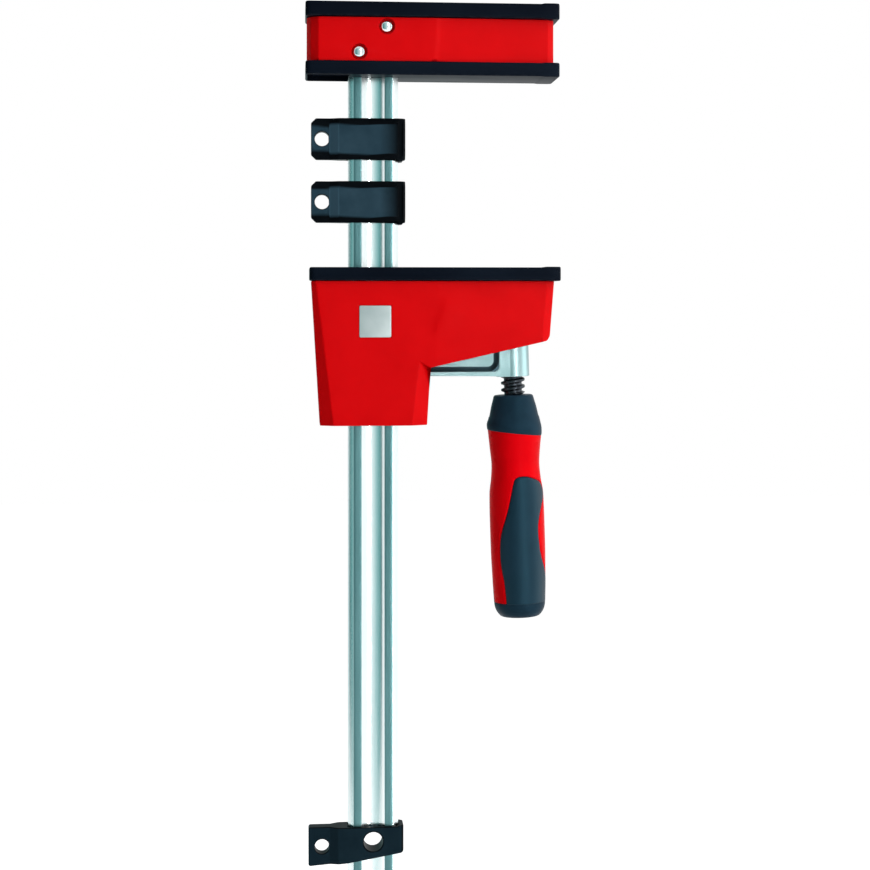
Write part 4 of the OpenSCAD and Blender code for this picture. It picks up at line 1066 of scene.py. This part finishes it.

# %% [markdown]
# The arm's pocket gets painted shade: its walls are coloured dull and dark beside the plated
# faces, standing in for the shade in the pocket, and they run into the floor in a wide fillet.
# The fillet goes along the pocket's foot, round the corner and up its right side. Each
# cross-section is a quarter of an ellipse, closed by two corners that lie inside the casting.

# %% Fillet of the arm's pocket
POCKET_FLOOR, POCKET_RIM = 4.4, 9.2
POCKET_LEFT, POCKET_RIGHT = 30.0, 72.6
POCKET_FOOT, POCKET_TOP = -170.0, -150.0
FILLET_CORNER = 6.2
FILLET_WIDTH, FILLET_INTO_WALL = 3.3, 1.5
FILLET_TURN_STEPS, FILLET_SECTION_STEPS = 13, 9
FILLET_CRISP = 40
# Painted shade: the pocket's walls get this dark colour in place of the shade that falls there.
FINISH["cast_wall"] = make_finish(
    "cast_wall", ((0.045, 0.100, 0.125), (0.070, 0.135, 0.160)), (0.5, 0.6), metallic=0.6,
    patches=120.0, grain=dict(scale=700.0, mm=0.03))[0]


def make_pocket_fillet(name, side):
    """At path point p with inward normal n the section is p + w (1 - cos t) n at the height
    rim - (rim - floor) sin t above the arm's middle, for t from 0 to 90 degrees. Two corners
    inside the wall close it, far enough in to fill the pocket's own, tighter corner."""
    turn = np.linspace(-math.pi / 2, 0, FILLET_TURN_STEPS)
    arc = np.column_stack([POCKET_RIGHT - FILLET_CORNER + FILLET_CORNER * np.cos(turn),
                           POCKET_FOOT + FILLET_CORNER + FILLET_CORNER * np.sin(turn)])
    path = np.concatenate([[(POCKET_LEFT, POCKET_FOOT)], arc, [(POCKET_RIGHT, POCKET_TOP)]])
    normal = -np.column_stack([np.cos(turn), np.sin(turn)])
    normal = np.concatenate([normal[:1], normal, normal[-1:]])
    t = np.linspace(0, math.pi / 2, FILLET_SECTION_STEPS)
    offset = np.concatenate([[-FILLET_INTO_WALL], FILLET_WIDTH * (1 - np.cos(t)), [-FILLET_INTO_WALL]])
    rise = POCKET_RIM - POCKET_FLOOR
    height = np.concatenate([[POCKET_RIM], POCKET_RIM - rise * np.sin(t), [POCKET_FLOOR]])
    flat = path[:, None] + normal[:, None] * offset[:, None]
    depth = np.broadcast_to(side * height, flat.shape[:2])
    return new_piece(name, *closed_skin(np.stack([flat[..., 0], depth, flat[..., 1]], axis=-1)))


for fillet_name, fillet_side in (("arm_pocket_fillet_front", -1), ("arm_pocket_fillet_back", 1)):
    dress(crisp(make_pocket_fillet(fillet_name, fillet_side), FILLET_CRISP), FINISH["cast_wall"],
          "slide_arm", "zinc_casting")

# %% [markdown]
# The end clip reaches into the hanging hole as a thin sleeve, which hides the raw edge of the
# steel. It is a tube about the hole's own axis, worked out as one closed profile that turns.

# %% Sleeve of the hanging hole
SLEEVE_INNER, SLEEVE_OUTER = 5.55, 5.88
SLEEVE_FRONT, SLEEVE_BACK = -7.0, 7.0
SLEEVE_LIP = 0.25
TUBE_CRISP = 35


def make_sleeve():
    """A closed ring: outer wall, inner wall and two small lead-in chamfers between them."""
    hole = next(m for m in frame["record"]["mounts"] if m["name"] == "hanging_hole")
    x, _, z = np.array(hole["pos_m"]) / MM
    mouth = SLEEVE_INNER + SLEEVE_LIP
    profile = [(mouth, SLEEVE_FRONT), (SLEEVE_OUTER, SLEEVE_FRONT), (SLEEVE_OUTER, SLEEVE_BACK),
               (mouth, SLEEVE_BACK), (SLEEVE_INNER, SLEEVE_BACK - SLEEVE_LIP),
               (SLEEVE_INNER, SLEEVE_FRONT + SLEEVE_LIP), (mouth, SLEEVE_FRONT)]
    rings = revolved(profile, (x, 0, z), (0, 1, 0))
    return crisp(new_piece("hanging_hole_sleeve", *looped_skin(rings)), TUBE_CRISP)


dress(make_sleeve(), FINISH["end_clip_plastic"], "rail_and_head", "clip_plastic")

# %% [markdown]
# A rivet is a turned shape: a shank with a low dome pressed on each end. The dome's profile is
# an arc that starts level at its top and ends in a short straight rim. One profile revolved
# about the rivet's axis gives both ends, because they are equal.

# %% Rivets
RIVET_SHANK, RIVET_HEAD, RIVET_DOME, RIVET_RIM = 5.0, 6.8, 1.7, 1.4
DOME_STEPS, DOME_FROM, DOME_END = 14, 0.03, 1.25
RIM_HEIGHT, RIM_CHAMFER = 0.35, 0.12


def rivet_profile(half_length):
    """Dome: h = top - D (1 - cos a) / (1 - cos end), r = R sin a / sin end, then down the rim to
    the shank."""
    a = np.linspace(DOME_FROM, DOME_END, DOME_STEPS)
    r = RIVET_HEAD / 2 * np.sin(a) / math.sin(DOME_END)
    h = half_length - (RIVET_DOME - RIM_HEIGHT) * (1 - np.cos(a)) / (1 - math.cos(DOME_END))
    dome = np.column_stack([r, h])
    seat = half_length - RIVET_DOME
    under = np.array([[RIVET_HEAD / 2, seat + RIM_CHAMFER], [RIVET_HEAD / 2, seat - RIVET_RIM],
                      [RIVET_SHANK / 2, seat - RIVET_RIM]])
    half = np.concatenate([dome, under])
    return np.concatenate([half, half[::-1] * (1, -1)])


rivet_half = node_box("head_rivets")[1][1]
rivet_meshes = [closed_skin(revolved(rivet_profile(rivet_half), (x, 0, z), (0, 1, 0), RIVET_AROUND))
                for x, z in RIVET_AT]
rivet_points = np.concatenate([points for points, _ in rivet_meshes])
first_count = len(rivet_meshes[0][0])
rivet_faces = rivet_meshes[0][1] + [[i + first_count for i in face] for face in rivet_meshes[1][1]]
rivets = crisp(new_piece("head_rivet_pair", rivet_points, rivet_faces), PIECE_CRISP)
dress(rivets, FINISH["bright_steel"], "rail_and_head", "bright_steel", "head_rivets")

# %% [markdown]
# The plate on the jaw is a thin stamped square. It is left blank. A slab with rounded corners
# and a rounded front edge catches the light as a stamped edge does.

# %% Plate
PLATE_CORNER, PLATE_EDGE = 0.9, 0.3
plate_low, plate_high = node_box("jaw_plate")
plate_outline = soften([
    (plate_low[0], plate_low[2]), (plate_high[0], plate_low[2]),
    (plate_high[0], plate_high[2]), (plate_low[0], plate_high[2])], PLATE_CORNER)
plate_rings = slab_rings(plate_outline, plate_low[1], plate_high[1], PLATE_EDGE)[:, :, [0, 2, 1]]
plate = new_piece("jaw_plate_blank", *closed_skin(plate_rings))
dress(crisp(plate, PIECE_CRISP), FINISH["plate_metal"], "sliding_jaw", "plate_metal", "jaw_plate")

# %% [markdown]
# Everything on the spindle is turned about one axis, and the record's joint says where that
# axis is. So the shapes here are written as radius against depth below the seat. The thread
# needs one more idea: its radius depends on depth and on angle together, because a crest climbs
# by one lead in each turn.

# %% Spindle
spindle_joint = joint_named("spindle_turn")
SEAT = np.array(spindle_joint["pos_m"]) / MM
UP = np.array(spindle_joint["axis"], float)
PIVOT_TOP, PIVOT_R, RING_GROOVE = 9.0, 4.0, (6.7, 8.1, 3.2)
SHANK_R, SHANK_TOP = 5.0, -0.4
THREAD = dict(top=-6.2, low=-41.2, root=5.2, crest=7.0, lead=4.0, flank_from=0.37, flank=0.24, fade=2.0)
SPINDLE_END = -170.0
SOCKET_HALF, SOCKET_DEPTH = 3.0, 9.0
THREAD_AROUND, THREAD_STEP = 72, 0.2
PIVOT_CHAMFER, SHANK_CHAMFER, THREAD_RUNOUT, END_CHAMFER = 0.6, 0.4, (0.3, 0.4), 0.8
MOUTH_CHAMFER = (0.3, 0.4)
SPINDLE_CRISP = 40


def thread_radius(height, angle):
    """Root plus the crest's height times a wave of the turn count h / lead - a / 2 pi, smoothed to
    the rolled shape of a trapezoid and faded out over half a turn at both ends."""
    turn = height / THREAD["lead"] - angle / (2 * math.pi)
    from_crest = np.abs(turn - np.round(turn))
    wave = smooth_step((THREAD["flank_from"] - from_crest) / THREAD["flank"])
    below_top, above_low = THREAD["top"] - height, height - THREAD["low"]
    fade = smooth_step(below_top / THREAD["fade"]) * smooth_step(above_low / THREAD["fade"])
    return THREAD["root"] + (THREAD["crest"] - THREAD["root"]) * wave * fade


def make_spindle():
    """One skin from the pivot's top to the floor of the key socket, radius by height and angle."""
    g_low, g_high, g_r = RING_GROOVE
    above = [(PIVOT_R - PIVOT_CHAMFER, PIVOT_TOP), (PIVOT_R, PIVOT_TOP - PIVOT_CHAMFER), (PIVOT_R, g_high),
             (g_r, g_high), (g_r, g_low), (PIVOT_R, g_low), (PIVOT_R, SHANK_TOP),
             (SHANK_R - SHANK_CHAMFER, SHANK_TOP), (SHANK_R, SHANK_TOP - SHANK_CHAMFER),
             (SHANK_R, THREAD["top"] + THREAD_RUNOUT[0])]
    below = [(SHANK_R, THREAD["low"] - THREAD_RUNOUT[1]), (SHANK_R, SPINDLE_END + END_CHAMFER),
             (SHANK_R - END_CHAMFER, SPINDLE_END)]
    angle = np.linspace(0, 2 * math.pi, THREAD_AROUND, endpoint=False)
    height = np.arange(THREAD["top"], THREAD["low"], -THREAD_STEP)
    turned = revolved(np.column_stack([np.ones(len(height)), height]), SEAT, UP, THREAD_AROUND)
    centre = SEAT + height[:, None, None] * UP
    radius = thread_radius(height[:, None], angle[None, :])
    thread = centre + (turned - centre) * radius[:, :, None]
    sixth = math.pi / 3
    hexagon = SOCKET_HALF / np.cos((angle + sixth / 2) % sixth - sixth / 2)
    wider, deep = MOUTH_CHAMFER
    socket = [(wider, SPINDLE_END), (0, SPINDLE_END + deep), (0, SPINDLE_END + SOCKET_DEPTH)]
    unit = revolved([(1, 0)], (0, 0, 0), UP, THREAD_AROUND)[0]
    inner = np.stack([SEAT + h * UP + unit * (hexagon + more)[:, None] for more, h in socket])
    rings = np.concatenate([revolved(above, SEAT, UP, THREAD_AROUND), thread,
                            revolved(below, SEAT, UP, THREAD_AROUND), inner])
    return new_piece("spindle_screw", *closed_skin(rings))


spindle = crisp(make_spindle(), SPINDLE_CRISP)
dress(spindle, FINISH["spindle_steel"], "spindle_and_handle", "spindle_steel", "spindle")

# %% [markdown]
# The handle is a red core with a dark collar, a dark cap and two soft panels let into it. Its
# outline comes from a few radii, joined by a monotone cubic so that no false waist appears
# between them.

# %% Handle outline
HANDLE_TOP = -41.0
BORE_R = 5.05
COLLAR = np.array([
    (10.6, 0), (11.2, -0.25), (11.6, -0.9), (12.25, -3.4), (13.09, -6.3), (14.4, -12.4), (14.72, -12.8),
    (15.3, -15.0), (15.8, -16.8), (16.0, -18.0), (16.05, -19.2), (16.0, -20.4), (15.9, -21.4), (15.6, -22)])
BODY_TOP, BODY_LOW = -22.0, -120.4
BODY_SHARES = ((0, 15.63), (0.08, 14.85), (0.19, 14.02), (0.27, 14.57), (0.36, 15.72), (0.5, 16.0),
               (0.66, 16.0), (0.86, 15.56), (1, 14.9))
CAP = np.array([
    (14.6, -120.4), (14.95, -120.9), (14.8, -122.6), (14.35, -124.5), (13.6, -126.2), (12.6, -127.6),
    (11.7, -128.6), (10.9, -129)])
LEAN = math.tan(math.radians(7.5))
LEAN_REACH = 11.0


def body_radius(depth):
    """Monotone cubic through the body's radii: slopes are the harmonic mean of the two chords
    beside a point, or nought where the chords disagree in sign."""
    known = np.array(BODY_SHARES)
    x = BODY_TOP + (BODY_LOW - BODY_TOP) * known[:, 0]
    x, y = x[::-1], known[::-1, 1]
    chord = np.diff(y) / np.diff(x)
    both = chord[:-1] * chord[1:]
    inner = np.where(both > 0, 2 * both / np.where(both > 0, chord[:-1] + chord[1:], 1), 0)
    slope = np.concatenate([[chord[0]], inner, [chord[-1]]])
    depth = np.clip(depth, x[0], x[-1])
    i = np.clip(np.searchsorted(x, depth) - 1, 0, len(x) - 2)
    step = x[i + 1] - x[i]
    t = (depth - x[i]) / step
    return ((2 * t**3 - 3 * t**2 + 1) * y[i] + (t**3 - 2 * t**2 + t) * step * slope[i]
            + (3 * t**2 - 2 * t**3) * y[i + 1] + (t**3 - t**2) * step * slope[i + 1])


def handle_point(radius, height, angle):
    """A point on the handle: angle nought faces the front, and grows towards the right. The joint
    between collar and body leans, so heights near it drop by tan(lean) times the way to the right."""
    right = np.cross((0, 1, 0), UP)
    near = smooth_step(1 - np.abs(height - BODY_TOP) / LEAN_REACH)
    height = height - LEAN * near * radius * np.sin(angle)
    out = -np.cos(angle)[..., None] * np.array((0.0, 1.0, 0.0)) + np.sin(angle)[..., None] * right
    return SEAT + (HANDLE_TOP + height)[..., None] * UP + radius[..., None] * out

# %% [markdown]
# The core and the panels share one drawing: a closed line across and along the handle. The
# distance to that line does two jobs. It sinks the core's surface where a panel lies, and it
# rounds the panel's own edge, so that the two always fit. Collar and cap are plain turned rings.

# %% Handle: collar, core and cap
GRIP_R = 16.0
PANEL_LINE = np.array([
    (-6.2, 0.255, 3.0), (17.2, 0.251, 3.0), (38.5, 0.267, 4.0), (64, 0.287, 3.5), (78, 0.316, 3.0),
    (84, 0.367, 3.5), (72, 0.408, 3.5), (60, 0.438, 4.0), (47.8, 0.505, 5.0), (43.5, 0.586, 5.0),
    (47.9, 0.661, 4.0), (50.1, 0.706, 4.0), (60, 0.765, 4.0), (72, 0.806, 4.0), (84, 0.850, 4.0),
    (92, 1.003, 0.3), (-38.5, 1.003, 0.3), (-38.8, 0.960, 2.0), (-41.3, 0.863, 4.0), (-45.9, 0.809, 4.0),
    (-49.1, 0.752, 4.0), (-48.1, 0.644, 5.0), (-44, 0.586, 5.0), (-29.5, 0.483, 5.0), (-20.3, 0.393, 5.0),
    (-12.2, 0.285, 3.0)])
PANEL_SINK = 1.5
PANEL_PROUD = 0.12
PANEL_CORNER_STEPS = 9
SINK_WALL = 0.7
NEVER_ZERO = 1e-9
CORE_AROUND, CORE_ALONG = 200, 240
TURNED_AROUND = 128


def panel_line():
    """The panel's closed edge as arc length round the handle against height: s = R a. The table
    gives degrees from the front, the share of the body's length, and each corner's radius."""
    degrees, share, corner = PANEL_LINE.T
    height = BODY_TOP + (BODY_LOW - BODY_TOP) * share
    line = soften(np.column_stack([GRIP_R * np.radians(degrees), height]), corner, PANEL_CORNER_STEPS)
    line[:, 0] *= body_radius(line[:, 1]) / GRIP_R
    return line


def signed_distance(points, line):
    """Distance of each point to a closed line, below nought inside it. Each edge gives the distance
    |p - a - t (b - a)| with t held to 0..1, and crossings of a ray to the right tell the side."""
    a, b = line, np.roll(line, -1, axis=0)
    edge = b - a
    gap = points[:, None] - a
    t = np.clip((gap * edge).sum(-1) / (edge**2).sum(-1), 0, 1)
    distance = np.linalg.norm(gap - t[..., None] * edge, axis=-1).min(axis=1)
    straddles = (a[:, 1] > points[:, None, 1]) != (b[:, 1] > points[:, None, 1])
    rise = np.where(np.abs(edge[:, 1]) < NEVER_ZERO, NEVER_ZERO, edge[:, 1])
    reach = a[:, 0] + (points[:, None, 1] - a[:, 1]) / rise * edge[:, 0]
    inside = (straddles & (points[:, None, 0] < reach)).sum(axis=1) % 2 == 1
    return np.where(inside, -distance, distance)


def make_core():
    """Radius by height and angle, less the panels' sink where the distance to the line is below nought."""
    height = np.linspace(BODY_TOP, BODY_LOW, CORE_ALONG)
    angle = np.linspace(-math.pi, math.pi, CORE_AROUND, endpoint=False)
    h, a = (grid.ravel() for grid in np.meshgrid(height, angle, indexing="ij"))
    radius = body_radius(h)
    line = panel_line()
    sink = np.zeros(len(h))
    for turn in (0, math.pi):
        around = (a - turn + math.pi) % (2 * math.pi) - math.pi
        inside = signed_distance(np.column_stack([radius * around, h]), line)
        sink = np.maximum(sink, PANEL_SINK * smooth_step((SINK_WALL / 2 - inside) / SINK_WALL))
    outer = handle_point(radius - sink, h, a).reshape(CORE_ALONG, CORE_AROUND, 3)
    bore = [handle_point(np.full(CORE_AROUND, BORE_R), np.full(CORE_AROUND, depth), angle)
            for depth in (BODY_LOW, BODY_TOP)]
    return new_piece("handle_body", *looped_skin(np.concatenate([outer, bore, outer[:1]])))


def make_turned(name, profile):
    """A tube from its outer profile and the spindle's bore: every profile point at every angle."""
    profile = np.concatenate([[(BORE_R, profile[0][1])], profile, [(BORE_R, profile[-1][1])]])
    profile = np.concatenate([profile, profile[:1]])
    angle = np.linspace(-math.pi, math.pi, TURNED_AROUND, endpoint=False)
    radius, around = np.meshgrid(profile[:, 0], angle, indexing="ij")
    height = np.repeat(profile[:, 1:], TURNED_AROUND, axis=1)
    return crisp(new_piece(name, *looped_skin(handle_point(radius, height, around))), TUBE_CRISP)


TURNED = ((make_core(), "handle_red", "handle_core"),
          (make_turned("handle_collar_ring", COLLAR), "handle_dark", "handle_collar"),
          (make_turned("handle_cap_ring", CAP), "handle_dark", "handle_end_cap"))
for turned_piece, turned_slot, turned_node in TURNED:
    dress(turned_piece, FINISH[turned_slot], "spindle_and_handle", turned_slot, turned_node)

# %% [markdown]
# Each soft panel is a patch of rows across the handle, from its left edge to its right, and every
# point is lifted onto the handle's round surface. Close to the edge the lift follows a quarter of
# an ellipse, and a second, deeper sheet closes the patch from behind.

# %% Handle panels
PANEL_ROUND, PANEL_DROP = 2.2, 0.9
PANEL_COLUMNS = 56
ROW_STEP = 0.6
TOP_ROWS, TOP_REACH = 16, 3.2
ROW_MARGIN = 0.02
SIDE_CROWDING = 0.9


def make_panel(name, turn):
    """Rows across the handle between the line's left and right side at each height, closest
    together near the top and near both sides. Radius = body + proud - g (1 - sqrt(1 - (1 - d/e)^2))
    within a distance d < e of the edge, where g is the drop, and body - sink on the inner face.
    The foot stands on the cap and isn't rounded, so the edge runs on past it."""
    line = panel_line()
    line = np.roll(line, -int(line[:, 1].argmax()), axis=0)
    foot = int(line[:, 1].argmin())
    high, low = line[0, 1] - ROW_MARGIN, line[foot, 1] + ROW_MARGIN
    top_rows = high - TOP_REACH * np.linspace(0, 1, TOP_ROWS) ** 2
    rows = np.concatenate([top_rows, np.arange(high - TOP_REACH - ROW_STEP, low, -ROW_STEP), [low]])
    halves = line[:foot + 1][::-1], np.concatenate([line[foot:], line[:1]])
    sides = [np.interp(rows, half[:, 1], half[:, 0]) for half in halves]
    left, right = np.minimum(*sides), np.maximum(*sides)
    share = np.linspace(0, 1, PANEL_COLUMNS)
    share = share - SIDE_CROWDING * np.sin(2 * math.pi * share) / (2 * math.pi)
    across = left[:, None] + (right - left)[:, None] * share
    flat = np.column_stack([across.ravel(), np.repeat(rows, PANEL_COLUMNS)])
    past_foot = np.where(line[:, 1] < BODY_LOW, line[:, 1] - PANEL_ROUND, line[:, 1])
    edge = np.column_stack([line[:, 0], past_foot])
    over = np.clip(1 - np.abs(signed_distance(flat, edge)) / PANEL_ROUND, 0, 1)
    body = body_radius(flat[:, 1])
    radius = body + PANEL_PROUD - PANEL_DROP * (1 - np.sqrt(1 - over**2))
    angle = flat[:, 0] / body + turn
    outer = handle_point(radius, flat[:, 1], angle).reshape(*across.shape, 3)
    inner = handle_point(body - PANEL_SINK, flat[:, 1], angle).reshape(*across.shape, 3)
    return new_piece(name, *closed_skin(np.concatenate([outer, inner[:, ::-1]], axis=1)))


for panel_name, panel_turn, panel_node in (("handle_panel_front", 0, "handle_grip_front"),
                                           ("handle_panel_back", math.pi, "handle_grip_back")):
    panel = make_panel(panel_name, panel_turn)
    dress(panel, FINISH["grip_rubber"], "spindle_and_handle", "grip_rubber", panel_node)
